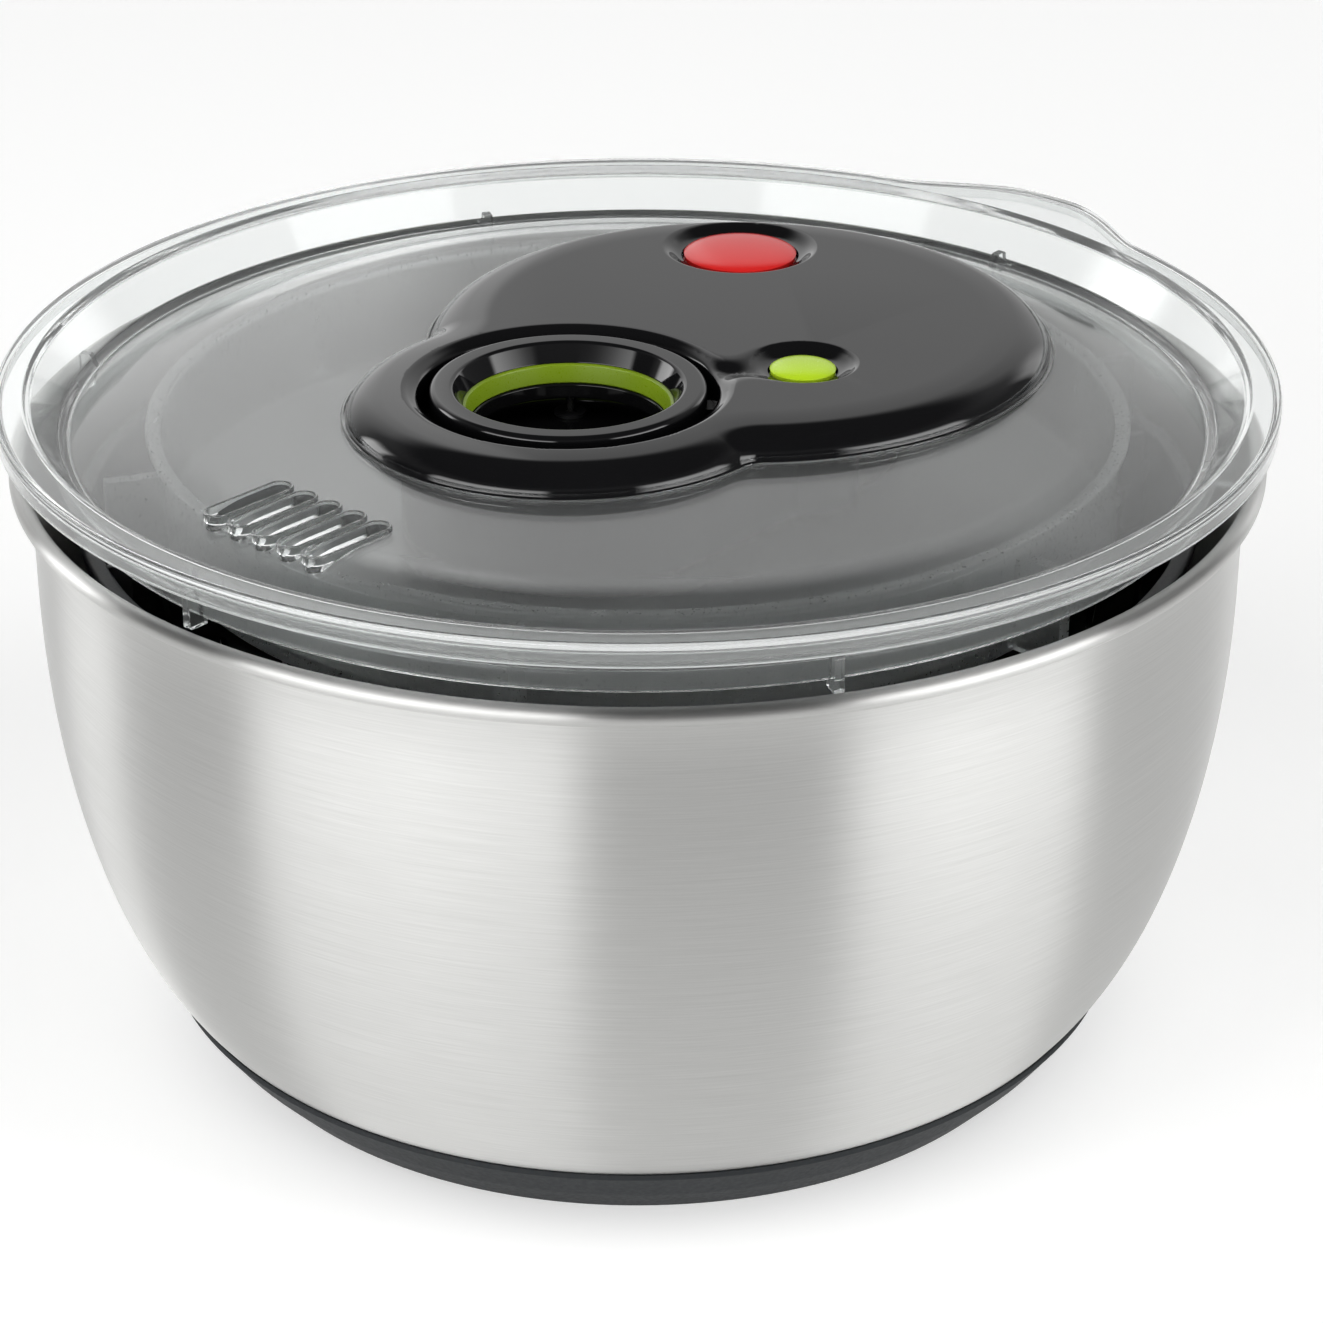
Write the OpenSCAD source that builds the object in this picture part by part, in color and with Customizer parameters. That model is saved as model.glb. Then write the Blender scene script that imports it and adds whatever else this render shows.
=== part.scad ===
// Salad spinner: steel bowl, slotted basket, clear lid and a pull-ring drive with brake.
// Millimetres, +Z up. The origin is the middle of the underside of the base, on the bowl's axis.
// +Y points from the pull ring, past the drive's large lobe, to the lid's finger tab.

/* [Bowl] */
// Outer radius of the bowl's wall at its widest
bowl_r = 125.8; // [115:0.1:135]
// Outer radius of the rolled rim
rim_r = 130; // [128:0.5:140]
// Height of the rim's top above the table
rim_z = 131.3; // [120:0.5:150]
// Thickness of the sheet steel
steel_t = 1; // [0.6:0.1:1.5]
// Height where the wall turns upright
shoulder_z = 105; // [90:1:110]
// Vertical half-axis of the wall's elliptical curve
curve_h = 100; // [95:1:120]
// Radius of the rolled bead along the rim
roll_r = 1.85; // [1.6:0.05:2.2]
// Height where the wall starts to flare towards the rim
flare_z = 116; // [112:1:120]
// Radius of the steel wall where the rubber base ends
foot_r = 103.5; // [98:0.5:108]

/* [Base] */
// Height of the rubber base's upper edge
base_top_z = 15; // [10:0.5:20]
// Thickness of the rubber under the bowl
base_t = 3.5; // [2.5:0.5:6]
// Radius of the face that stands on the table
base_r = 93.5; // [88:0.5:98]

/* [Basket] */
// Gap between the bowl's outer surface and the basket
basket_gap = 10.5; // [8:0.5:14]
// Height of the basket's rim
basket_z = 118; // [114:0.5:118]
// Wall thickness of the basket
basket_t = 1.8; // [1.4:0.1:2.4]
// Number of slots in one row around the basket
basket_slots = 36; // [24:6:48]

/* [Lid] */
// Height that the lid stands above its closed place
rest_lift = 12; // [0:1:14]
// Outer radius of the lid's lip
lid_r = 132; // [131.5:0.1:138]
// Thickness of the clear plastic
lid_t = 2; // [1.6:0.1:2.4]
// Level of the middle panel below the flange's top
panel_z = -4.5; // [-6:0.1:-4]
// Level of the skirt's lower edge below the flange's top
skirt_z = -15.5; // [-17:0.5:-14]
// How far the finger tab reaches from the axis
tab_r = 142; // [138:0.5:146]

/* [Drive cover] */
// Radius of the front lobe, around the pull ring
front_r = 45.5; // [43:0.5:47]
// Radius of the rear lobe
rear_r = 66; // [62:0.5:66]
// Level of the cover's flat top above the flange
cover_z = 1.6; // [1:0.1:3]
// Width of the cover's rounded edge
edge_w = 7.5; // [5:0.5:8]
// Level of the ring recess's floor
recess_z = -15; // [-16:0.5:-14]

/* [Gears] */
// Gear module
gear_m = 1; // [1:1:1]
// Teeth of the pinion
pinion_n = 16; // [16:1:16]
// Teeth of the drive gear
gear_n = 48; // [48:1:48]
// Play between meshing flanks
backlash = 0.3; // [0.2:0.05:0.4]

/* [Cord] */
// Diameter of the pull cord
cord_d = 1.5; // [1.2:0.1:1.8]
// Core radius of the cord drum
spool_r = 16; // [15:0.5:17]

/* [Buttons] */
// Travel of the brake button
brake_travel = 3; // [2:0.5:3]
// Travel of the release button
release_travel = 2.5; // [1.5:0.5:2.5]

/* [Hidden] */
$fn = 96;
eps = 0.01;

// Bowl wall: an ellipse above the foot, a tangent arc below it
foot_u = (shoulder_z - base_top_z) / curve_h;
wall_a = (bowl_r - foot_r) / (1 - sqrt(1 - foot_u * foot_u));
foot_slope = wall_a * foot_u / curve_h / sqrt(1 - foot_u * foot_u);
foot_len = sqrt(1 + foot_slope * foot_slope);
foot_arc = (base_top_z - base_t) / (1 - foot_slope / foot_len);
foot_c = [foot_r - foot_arc / foot_len, base_top_z + foot_arc * foot_slope / foot_len];
foot_end = atan2(base_top_z - foot_c[1], foot_r - foot_c[0]);
pivot_r = 3;
bearing_r = 6;
basket_floor = base_t + basket_gap;

// Lid levels, all counted from the flange's top
seat_gap = 0.3;
flange_t = 2.2;
lid_z = rim_z + seat_gap + flange_t + rest_lift;
skirt_r = 120.5;
slot_pitch = 6.9;
slot_w = 5.5;
slot_y = [-106, -84.5];

// Drive layout in the lid's plane
ring_y = -20.8;
rear_y = 31.7;
drum_y = gear_m * (pinion_n + gear_n) / 2;
fillet_r = 7;
brake_at = [-28.2, 63.7];
release_at = [27.2, 20.7];
brake_r = 12.8;
release_r = 7;
recess_r = 30.7;
ring_r = 28;
screw_at = [[-39, -8], [39, -8], [-39, 44], [39, 44]];
tub_r = 34.5;
tub_t = 1.8;
tub_green_r = 12;
flange_r = 44;
flange_z = panel_z - lid_t;
flange_h = 1.8;
brake_stem_r = 3;
brake_pad_h = 3;
brake_edge_z = -0.5;
brake_crown = 2;
release_stem_r = 2.2;
release_skirt_z = -3;
release_edge_z = -0.6;
release_crown = 1.8;
release_spring_h = 5;
screw_r = 1.5;
catch_dir = [release_at[0], release_at[1] - ring_y] / norm([release_at[0], release_at[1] - ring_y]);
catch_turn = atan2(catch_dir[1], catch_dir[0]);
catch_far = norm([release_at[0], release_at[1] - ring_y]);

// Drive levels
floor_t = 1.5;
gear_top = -17.2;
gear_bot = -20.8;
spool_top = -21.2;
spool_bot = -27.2;
tub_floor = -27.8;
tub_bot = -29.6;
disc_top = -31.8;
disc_bot = -33.6;
cup_bot = -41.4;
cap_bot = -43;
shaft_r = 5;
axle_r = 2.5;
run_gap = 0.05;
disc_r = 100;
cup_r = 24;
lug_n = 6;
cap_screws = [70, 120, 250, 300];
pawl_at = [20, 200];
pawl_r = 16.6;
pin_r = 1;
cap_r = 22;
cap_screw_r = 1.1;
clip_r = 4.2;
clip_z = [-40.6, -39.8];

// Lower end of the brake's stem at rest, and floor of the release button's well
brake_stem_z = disc_top + 0.1 + brake_travel + brake_pad_h;
well_floor = release_skirt_z - release_travel - release_spring_h - floor_t;

// Cord route
wound_r = spool_r + cord_d / 2;
cord_x = -wound_r;
riser_r = 24.45;
riser_y = ring_y + sqrt(riser_r * riser_r - wound_r * wound_r);
groove_r = 2.8;
turn_r = 3.75;
pulley_z = -21.2;
pulley_y = riser_y + turn_r;

function wall_r(z) = bowl_r - wall_a * (1 - sqrt(1 - pow((shoulder_z - z) / curve_h, 2)));
function wall_slope(z) =
    let (u = (shoulder_z - z) / curve_h) wall_a * u / curve_h / sqrt(1 - u * u);
function wall_pt(off, z) =
    let (s = wall_slope(z), l = sqrt(1 + s * s)) [wall_r(z) - off / l, z + off * s / l];
function foot_pt(off, a) = foot_c + (foot_arc - off) * [cos(a), sin(a)];
// Section curve at a distance inside the bowl's outer surface, from the axis up to height top
function shell(off, top) = concat(
    [[0, base_t + off]],
    [for (i = [0:6]) foot_pt(off, -90 + (foot_end + 90) * i / 6)],
    [for (i = [1:10]) wall_pt(off, base_top_z + (shoulder_z - base_top_z) * i / 10)],
    [[bowl_r - off, top]]
);
// Curve from the upright wall out to a point inside the rim's bead
function flare(off, end) = [for (i = [1:6]) let (t = i / 6)
    [bowl_r - off + (end[0] - bowl_r + off) * pow(t, 2.2), flare_z + (end[1] - flare_z) * t]];
function flip(v) = [for (i = [len(v) - 1:-1:0]) v[i]];

// Height of the cover's rounded edge at a distance d inside its outline
function edge_z(d) = panel_z + (cover_z - panel_z) * sqrt(max(0, 1 - pow(1 - min(d / edge_w, 1), 2)));
function edge_curve() = [for (i = [0:8]) edge_w * (1 - cos(i * 90 / 8))];

// Third corner of a triangle on the two lobe centres, at distances a and b from them
function lobe_corner(a, b) =
    let (d = rear_y - ring_y, y = (a * a - b * b + d * d) / (2 * d))
    [sqrt(a * a - y * y), ring_y + y];

module lathe(points) {
    rotate_extrude() polygon(points);
}

module ring(r_out, r_in, z0, z1) {
    translate([0, 0, z0]) difference() {
        cylinder(r = r_out, h = z1 - z0);
        translate([0, 0, -1]) cylinder(r = r_in, h = z1 - z0 + 2);
    }
}

module post(r, z0, z1) {
    translate([0, 0, z0]) cylinder(r = r, h = z1 - z0);
}

module at_lid() {
    translate([0, 0, lid_z]) children();
}

// Tube with flat ends through a list of points, built from rings of points
module sweep(path, r, sides = 8) {
    n = len(path);
    dirs = [for (i = [0:n - 1]) let (a = path[max(i - 1, 0)], b = path[min(i + 1, n - 1)])
        (b - a) / norm(b - a)];
    up = [0.05, 0.02, 1];
    rings = [for (i = [0:n - 1]) let (
            u = cross(dirs[i], abs(dirs[i][2]) > 0.9 ? [1, 0.05, 0] : up), e = u / norm(u),
            f = cross(dirs[i], e))
        for (k = [0:sides - 1]) path[i] + r * (cos(k * 360 / sides) * e + sin(k * 360 / sides) * f)];
    faces = concat(
        [[for (k = [0:sides - 1]) k]],
        [for (i = [0:n - 2]) for (k = [0:sides - 1]) let (j = (k + 1) % sides)
            [i * sides + k, (i + 1) * sides + k, (i + 1) * sides + j, i * sides + j]],
        [[for (k = [sides - 1:-1:0]) (n - 1) * sides + k]]
    );
    polyhedron(rings, faces, convexity = 6);
}

// Coil spring standing on z0
module coil(r, wire_r, z0, z1, turns) {
    steps = turns * 12;
    rise = z1 - z0 - 2 * wire_r;
    sweep([for (i = [0:steps]) [r * cos(i * 30), r * sin(i * 30),
        z0 + wire_r + rise * i / steps]], wire_r, 6);
}

// Spur gear outline with straight flanks
module gear2d(n, turn = 0) {
    pitch_r = gear_m * n / 2;
    tip_r = pitch_r + 0.8 * gear_m;
    root_r = pitch_r - 1.25 * gear_m;
    half = (90 * gear_m - backlash * 180 / PI / 2) / n;
    root_half = half * 1.45;
    tip_half = half * 0.55;
    polygon([for (i = [0:n - 1]) for (c = [[root_r, -root_half], [tip_r, -tip_half],
            [tip_r, tip_half], [root_r, root_half]])
        c[0] * [cos(turn + i * 360 / n + c[1]), sin(turn + i * 360 / n + c[1])]]);
}

// Outline shared by the lower housing and the lid's opening, grown by off
module tub_outline(off) {
    translate([0, ring_y]) circle(r = tub_r + off);
    translate([0, drum_y]) circle(r = tub_r + off);
    translate([-tub_r - off, ring_y]) square([2 * (tub_r + off), drum_y - ring_y]);
    translate(release_at) circle(r = tub_green_r + off);
}

module flange_outline() {
    translate([0, ring_y]) circle(r = flange_r);
    translate([0, drum_y]) circle(r = flange_r);
    translate([-flange_r, ring_y]) square([2 * flange_r, drum_y - ring_y]);
    translate(brake_at) circle(r = brake_r + 4);
}

module bowl() {
    bead = [rim_r - roll_r, rim_z - roll_r];
    outer = shell(0, flare_z);
    inner = shell(steel_t, flare_z);
    color("gainsboro") union() {
        lathe(concat(outer, flare(0, bead - [1.25, 1.15]), flip(flare(steel_t, bead - [1.7, 0])),
            flip(inner)));
        rotate_extrude() translate(bead) circle(r = roll_r, $fn = 32);
    }
}

module non_slip_base() {
    lip = 0.8;
    color("darkslategray") lathe(concat(
        [[0, 0], [base_r - 1.5, 0], [base_r, 0.6]],
        [[foot_r + lip, base_top_z - 1], [foot_r + lip - 0.3, base_top_z]],
        [for (i = [6:-1:0]) foot_pt(0, -90 + (foot_end + 90) * i / 6)],
        [[0, base_t]]
    ));
}

module bowl_pivot() {
    floor_z = base_t + steel_t;
    color("silver") lathe([[0, floor_z], [15, floor_z], [15, floor_z + 1.2], [8, floor_z + 2.5],
        [5, 10.5], [pivot_r, 11], [pivot_r, 24], [pivot_r / 2, 25.5], [0, 25.5]]);
}

module basket() {
    inner = basket_gap + basket_t;
    bead_r = bowl_r - basket_gap + 1.6;
    slot_t = 3;
    slot_rows = [[32, 58], [64, 92]];
    floor_slots = 18;
    rib_r = 108.5;
    rib_t = 1.6;
    rib_z = [96, basket_z - 1];
    color("#1b1b1d") difference() {
        union() {
            lathe(concat(shell(basket_gap, basket_z - 2.5),
                [[bead_r, basket_z - 2], [bead_r, basket_z - 0.5],
                 [bead_r - 0.6, basket_z], [bowl_r - inner, basket_z]],
                flip(shell(inner, basket_z - 3))));
            lathe([[0, basket_floor], [16, basket_floor], [13, basket_floor + 3], [9, 30], [0, 30]]);
            for (i = [0:lug_n - 1], y = [-4.2, 4.2])
                rotate(i * 360 / lug_n) translate([rib_r, y - rib_t / 2, rib_z[0]])
                    cube([bowl_r - inner - rib_r + 0.5, rib_t, rib_z[1] - rib_z[0]]);
        }
        translate([0, 0, basket_floor - 1]) cylinder(r = bearing_r, h = 15);
        for (i = [0:basket_slots - 1], z = slot_rows) rotate((i + 0.5) * 360 / basket_slots)
            translate([60, -slot_t / 2, z[0]]) cube([70, slot_t, z[1] - z[0]]);
        for (i = [0:floor_slots - 1]) rotate(i * 360 / floor_slots)
            translate([26, -1.6, basket_floor - 1]) cube([46, 3.2, 6]);
    }
}

module basket_bearing() {
    color("ivory") difference() {
        translate([0, 0, basket_floor]) cylinder(r = bearing_r, h = 14);
        translate([0, 0, 10]) cylinder(r = pivot_r + run_gap, h = 15.9);
    }
}

module lid_panel() {
    rib_n = 6;
    rib_t = 2;
    panel_r = 98;
    dish_r = 108;
    dish_drop = 2.2;
    lip_h = 5;
    lip_t = 1.4;
    lathe([[0, panel_z], [panel_r, panel_z], [dish_r, panel_z - dish_drop], [117.3, -9.5],
        [119.3, -8.6], [124.9, -0.7], [126.1, 0], [lid_r - 0.8, 0], [lid_r, -0.8], [lid_r, -lip_h],
        [lid_r - lip_t, -lip_h], [lid_r - lip_t, -flange_t], [125.8, -flange_t],
        [skirt_r + 0.2, -10], [skirt_r, skirt_z], [skirt_r - 1.8, skirt_z], [skirt_r - 1.9, -11.7],
        [dish_r, panel_z - lid_t - dish_drop], [panel_r, panel_z - lid_t], [0, panel_z - lid_t]]);
    for (i = [0:rib_n - 1]) rotate(30 + i * 360 / rib_n)
        translate([skirt_r - 1, -rib_t / 2, skirt_z - 1.5]) cube([4.2, rib_t, 8]);
}

module lid_tab() {
    corner = 10;
    half = 25;
    translate([0, 0, -flange_t]) linear_extrude(flange_t) difference() {
        union() {
            for (s = [-1, 1]) translate([s * (half - corner), tab_r - corner]) circle(r = corner);
            translate([-half, 118]) square([2 * half, tab_r - corner - 118]);
            translate([corner - half, 118]) square([2 * (half - corner), tab_r - 118]);
        }
        circle(r = 128);
    }
}

module lid() {
    color([0.85, 0.9, 0.9, 0.35]) at_lid() difference() {
        union() {
            lid_panel();
            lid_tab();
        }
        translate([0, 0, -20]) linear_extrude(20) tub_outline(0.3);
        for (i = [-2:2]) translate([i * slot_pitch, 0, -20]) linear_extrude(20) {
            translate([-slot_w / 2, slot_y[0] + slot_w / 2])
                square([slot_w, slot_y[1] - slot_y[0] - slot_w]);
            for (y = [slot_y[0] + slot_w / 2, slot_y[1] - slot_w / 2]) translate([0, y])
                circle(r = slot_w / 2);
        }
        for (p = screw_at) translate([p[0], p[1], -20]) cylinder(r = 1.8, h = 20);
        translate([brake_at[0], brake_at[1], -20]) cylinder(r = brake_r + 0.6, h = 20);
    }
}

// Solid two-lobed body of the cover, with its rounded edge and blended waist
module cover_body() {
    steps = edge_curve();
    for (lobe = [[front_r, ring_y], [rear_r, rear_y]])
        translate([0, lobe[1], 0]) lathe(concat([[0, panel_z], [lobe[0], panel_z]],
            [for (i = [1:8]) [lobe[0] - steps[i], edge_z(steps[i])]], [[0, cover_z]]));
    c = lobe_corner(front_r + fillet_r, rear_r + fillet_r);
    for (s = [-1, 1]) difference() {
        translate([0, 0, panel_z]) linear_extrude(cover_z - panel_z)
            polygon([[0, ring_y], [0, rear_y], [s * c[0], c[1]]]);
        translate([s * c[0], c[1], 0]) lathe(concat(
            [[0, panel_z - 1], [fillet_r, panel_z - 1], [fillet_r, panel_z]],
            [for (i = [1:8]) [fillet_r + steps[i], edge_z(steps[i])]],
            [[fillet_r + edge_w, cover_z + 1], [0, cover_z + 1]]));
    }
}

module cover_cavity() {
    roof_z = cover_z - 2.2;
    translate([0, 0, panel_z - 1]) linear_extrude(roof_z - panel_z + 1) {
        translate([0, ring_y]) circle(r = front_r - 6);
        translate([0, rear_y]) circle(r = rear_r - 6);
    }
}

module drive_cover() {
    roof_z = cover_z - 2.2;
    color("#151517") at_lid() difference() {
        union() {
            difference() {
                cover_body();
                cover_cavity();
            }
            translate([0, ring_y, 0]) post(recess_r + 1.8, recess_z - floor_t, roof_z + 1);
            translate([brake_at[0], brake_at[1], 0]) post(brake_r + 6.2, panel_z + 0.2, roof_z + 1);
            translate([release_at[0], release_at[1], 0]) {
                post(release_r + 5.5, -3.4, roof_z + 1);
                post(release_r + 2, well_floor, roof_z);
            }
            translate([0, drum_y, 0]) post(6, -4.2, roof_z + 1);
            for (p = screw_at) translate([p[0], p[1], 0]) post(3.6, panel_z, roof_z + 1);
            catch_frame() for (s = [-1, 1]) translate([-5, s * 3.9 - 1, -15.2]) cube([10, 2, 4]);
        }
        translate([0, ring_y, 0]) post(recess_r, recess_z, cover_z + 1);
        translate([brake_at[0], brake_at[1], 0]) {
            post(brake_r + 0.3, panel_z - 1, cover_z + 1);
            translate([0, 0, -1.8]) cylinder(r1 = brake_r + 0.3, r2 = 17.8, h = cover_z + 1.8 + eps);
        }
        translate([release_at[0], release_at[1], 0]) {
            post(release_r + 0.3, well_floor + floor_t, cover_z + 1);
            post(release_stem_r + run_gap, well_floor - 4, 0);
            translate([0, 0, -1.6]) cylinder(r1 = release_r + 0.3, r2 = 11, h = cover_z + 1.6 + eps);
        }
        translate([0, ring_y, cover_z + 4.6]) rotate(catch_turn) translate([recess_r - 1, 0, 0])
            rotate([0, 90, 0]) cylinder(r = 6, h = catch_far - recess_r + 1);
        translate([0, ring_y, 0]) rotate(catch_turn) translate([recess_r - 1, -3, -9])
            cube([4, 6, 4]);
        translate([0, drum_y, 0]) post(axle_r, -10, -1.6);
        for (p = screw_at) translate([p[0], p[1], 0]) post(screw_r, -10, -1.2);
        translate([cord_x, riser_y, 0]) post(2.6, recess_z - 3, recess_z + 1);
    }
}

module drive_base() {
    color("#202022") at_lid() difference() {
        union() {
            difference() {
                union() {
                    translate([0, 0, tub_bot]) linear_extrude(panel_z - 0.2 - tub_bot) tub_outline(0);
                    translate([0, 0, flange_z - flange_h]) linear_extrude(flange_h) flange_outline();
                    translate([brake_at[0], brake_at[1], 0]) {
                        post(7.5, -13.5, -8);
                        post(5.5, -20, -13);
                    }
                }
                translate([0, 0, tub_floor]) linear_extrude(-tub_floor) tub_outline(-tub_t);
            }
            post(9.8, tub_bot, -24.6);
            for (s = [-1, 1]) translate([cord_x + s * 2.4 - 0.8, pulley_y - 3, tub_floor - 1])
                cube([1.6, 6, pulley_z + 3 - tub_floor + 1]);
        }
        post(7.5, tub_bot - 1, 0);
        translate([0, drum_y, 0]) post(axle_r, tub_bot + 0.6, 0);
        translate([cord_x - 5, pulley_y, pulley_z]) rotate([0, 90, 0]) cylinder(r = 1, h = 10);
        for (p = screw_at) translate([p[0], p[1], 0]) post(1.8, -12, 0);
        translate([brake_at[0], brake_at[1], 0]) {
            post(brake_r + 0.6, flange_z, 0);
            post(6, -12, 0);
            post(brake_stem_r + run_gap, -21, 0);
        }
    }
}

module housing_screws() {
    head_z = flange_z - flange_h;
    head_r = 3;
    head_h = 1.8;
    cross = [3.6, 0.8, 0.8];
    color("silver") at_lid() for (p = screw_at) translate([p[0], p[1], 0]) difference() {
        union() {
            post(screw_r, head_z - 0.5, -1.2);
            post(head_r, head_z - head_h, head_z);
        }
        for (a = [0, 90]) rotate(a) translate([-cross[0] / 2, -cross[1] / 2, head_z - head_h - 0.2])
            cube(cross + [0, 0, 0.2]);
    }
}

module drum_axle() {
    color("lightsteelblue") at_lid() translate([0, drum_y, 0]) post(axle_r, tub_bot + 0.6, -1.6);
}

module output_bush() {
    color("peru") at_lid() difference() {
        union() {
            post(7.5, tub_bot, -24.6);
            post(9.5, tub_bot - 1.4, tub_bot);
        }
        post(shaft_r + run_gap, tub_bot - 2, 0);
    }
}

module cord_guide() {
    color("#202022") at_lid() translate([cord_x, riser_y, 0]) difference() {
        union() {
            post(2.6, recess_z - floor_t, recess_z);
            post(3.4, recess_z, recess_z + 0.7);
        }
        post(cord_d / 2 + 0.3, recess_z - 3, recess_z + 2);
    }
}

module pulley_pin() {
    color("silver") at_lid() translate([cord_x - 3.4, pulley_y, pulley_z]) rotate([0, 90, 0])
        cylinder(r = 1, h = 6.8);
}

module spring_cap() {
    color("#3a3a3e") at_lid() translate([0, drum_y, 0]) difference() {
        post(19.6, -16.6, -3.6);
        post(18.2, -17, -4.8);
        post(6, -5, 0);
    }
}

module return_spring() {
    turns = 5;
    strip = 0.35;
    steps = turns * 20;
    function arm(i, side) = (6.2 + 11.4 * i / steps + side) * [cos(i * 18), sin(i * 18)];
    color("slategray") at_lid() translate([0, drum_y, -15.6]) linear_extrude(10.2)
        polygon(concat([for (i = [0:steps]) arm(i, 0)],
            [for (i = [steps:-1:0]) arm(i, strip)]));
}

module pull_cord_run() {
    route = concat([for (a = [0:15:90]) [cord_x, pulley_y - turn_r * cos(a), pulley_z - turn_r * sin(a)]],
        [for (y = [4, 8, 12, 16, 20, 24]) [cord_x, y, pulley_z - turn_r]]);
    color("#26262a") at_lid() sweep(route, cord_d / 2);
}

module driver_disc() {
    color([0.8, 0.85, 0.85, 0.5]) at_lid() difference() {
        union() {
            lathe([[0, disc_bot], [disc_r - 1.2, disc_bot], [disc_r, disc_bot + 1.2], [disc_r, -11.5],
                [disc_r + 1.6, -11.3], [disc_r + 1.6, -10.2], [disc_r - 0.2, -10],
                [disc_r - 1.6, -10.2], [disc_r - 1.6, disc_top + 1], [disc_r - 2.6, disc_top],
                [8.5, disc_top], [8.5, disc_top + 0.5], [0, disc_top + 0.5]]);
            ring(cup_r, cup_r - 4, cup_bot, disc_bot + 0.5);
            for (i = [0:lug_n - 1]) rotate(i * 360 / lug_n)
                translate([disc_r - 0.7, -1.5, disc_bot + 1.6]) cube([12.2, 3, 19]);
        }
        post(shaft_r + run_gap, disc_bot - 1, 0);
        for (a = cap_screws) rotate(a) translate([cap_r, 0, 0])
            post(cap_screw_r, cup_bot - 1, cup_bot + 5);
        for (a = pawl_at) rotate(a) translate([pawl_r, 0, 0]) post(pin_r, disc_bot - 1, disc_bot + 1);
    }
}

module clutch_cover() {
    color("#2a2a2e") at_lid() difference() {
        post(cup_r, cap_bot, cup_bot);
        for (a = cap_screws) rotate(a) translate([cap_r, 0, 0]) post(cap_screw_r, cap_bot - 1, 0);
        for (a = pawl_at) rotate(a) translate([pawl_r, 0, 0]) post(pin_r, cup_bot - 0.8, 0);
    }
}

module clutch_screws() {
    color("silver") at_lid() for (a = cap_screws) rotate(a) translate([cap_r, 0, 0]) {
        post(cap_screw_r, cap_bot, cup_bot + 4.5);
        post(1.9, cap_bot - 1, cap_bot);
    }
}

module pawl_pins() {
    color("silver") at_lid() for (a = pawl_at) rotate(a) translate([pawl_r, 0, 0])
        post(pin_r, cup_bot - 0.8, disc_bot + 1);
}

// One pawl, trailing towards the ratchet from its pin at the given angle
module pawl(a) {
    tip = 13.4 * [cos(-30), sin(-30)] - [pawl_r, 0];
    thick = 3.4;
    color("goldenrod") at_lid() rotate(a) translate([pawl_r, 0, -39.2]) difference() {
        union() {
            cylinder(r = 2.2, h = thick, $fn = 32);
            linear_extrude(thick)
                polygon([[-0.6, 1.8], [1.9, -0.9], tip + [0.9, -0.5], tip + [-0.3, 0.3]]);
        }
        translate([0, 0, -1]) cylinder(r = pin_r + run_gap, h = thick + 2, $fn = 32);
    }
}

module pawl_front() {
    pawl(pawl_at[0]);
}

module pawl_rear() {
    pawl(pawl_at[1]);
}

module pinion() {
    color("whitesmoke") at_lid() {
        translate([0, 0, gear_bot]) linear_extrude(gear_top - gear_bot) gear2d(pinion_n, 180 / pinion_n);
        difference() {
            post(shaft_r, -41, gear_bot);
            ring(shaft_r + 1, clip_r, clip_z[0], clip_z[1]);
        }
        post(3, gear_top, gear_top + 0.4);
    }
}

module ratchet_wheel() {
    n = 12;
    color("silver") at_lid() translate([0, 0, -39.6]) linear_extrude(4.2) difference() {
        polygon([for (i = [0:n - 1]) for (c = [[10.3, 0], [12, 24]])
            c[0] * [cos(i * 30 + c[1]), sin(i * 30 + c[1])]]);
        circle(r = shaft_r);
    }
}

module thrust_washer() {
    color("peru") at_lid() ring(10, shaft_r, -34.9, -33.9);
}

module retaining_clip() {
    color("dimgray") at_lid() difference() {
        ring(7, clip_r, clip_z[0], clip_z[1]);
        translate([3, -2, -42]) cube([6, 4, 4]);
    }
}

module cord_drum() {
    color("ivory") at_lid() translate([0, drum_y, 0]) difference() {
        union() {
            post(21, spool_bot, spool_bot + 0.8);
            post(spool_r, spool_bot, spool_top);
            post(21, spool_top - 0.8, spool_top);
            post(8, spool_top, gear_top);
            post(5, gear_top, -4.6);
        }
        post(axle_r + run_gap, spool_bot - 1, 0);
    }
}

module drive_gear() {
    color("ivory") at_lid() translate([0, drum_y, gear_bot]) linear_extrude(gear_top - gear_bot)
        difference() {
            gear2d(gear_n, -90);
            circle(r = 8);
            for (i = [0:5]) rotate(i * 60 + 30) translate([14.5, 0]) circle(r = 4.2);
        }
}

module cord_winding() {
    lays = 3;
    low = spool_bot + 0.8;
    step = (spool_top - 0.8 - low) / lays;
    color("#26262a") at_lid() translate([0, drum_y, 0]) for (i = [0:lays - 1])
        ring(spool_r + cord_d * (i == 1 ? 0.8 : 0.7), spool_r, low + i * step, low + (i + 1) * step);
}

module guide_pulley() {
    color("white") at_lid() translate([cord_x, pulley_y, pulley_z]) rotate([0, 90, 0])
        rotate_extrude($fn = 48) polygon([[1 + run_gap, -1.3], [4.3, -1.3], [4.3, -1.05],
            [groove_r, -0.8], [groove_r, 0.8], [4.3, 1.05], [4.3, 1.3], [1 + run_gap, 1.3]]);
}

module pull_ring() {
    color("#17171a") at_lid() difference() {
        translate([0, ring_y, 0]) lathe([[19.2, -9.5], [27, -9.5], [ring_r, -8.5], [ring_r, 0.5],
            [27.6, 1.3], [26.8, cover_z], [24.6, cover_z], [23.8, 1.2], [21.6, -2.4], [21.6, -6.5],
            [19.8, -6.5]]);
        translate([cord_x, riser_y, 0]) post(1.55, -10, -5.5);
    }
}

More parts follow.
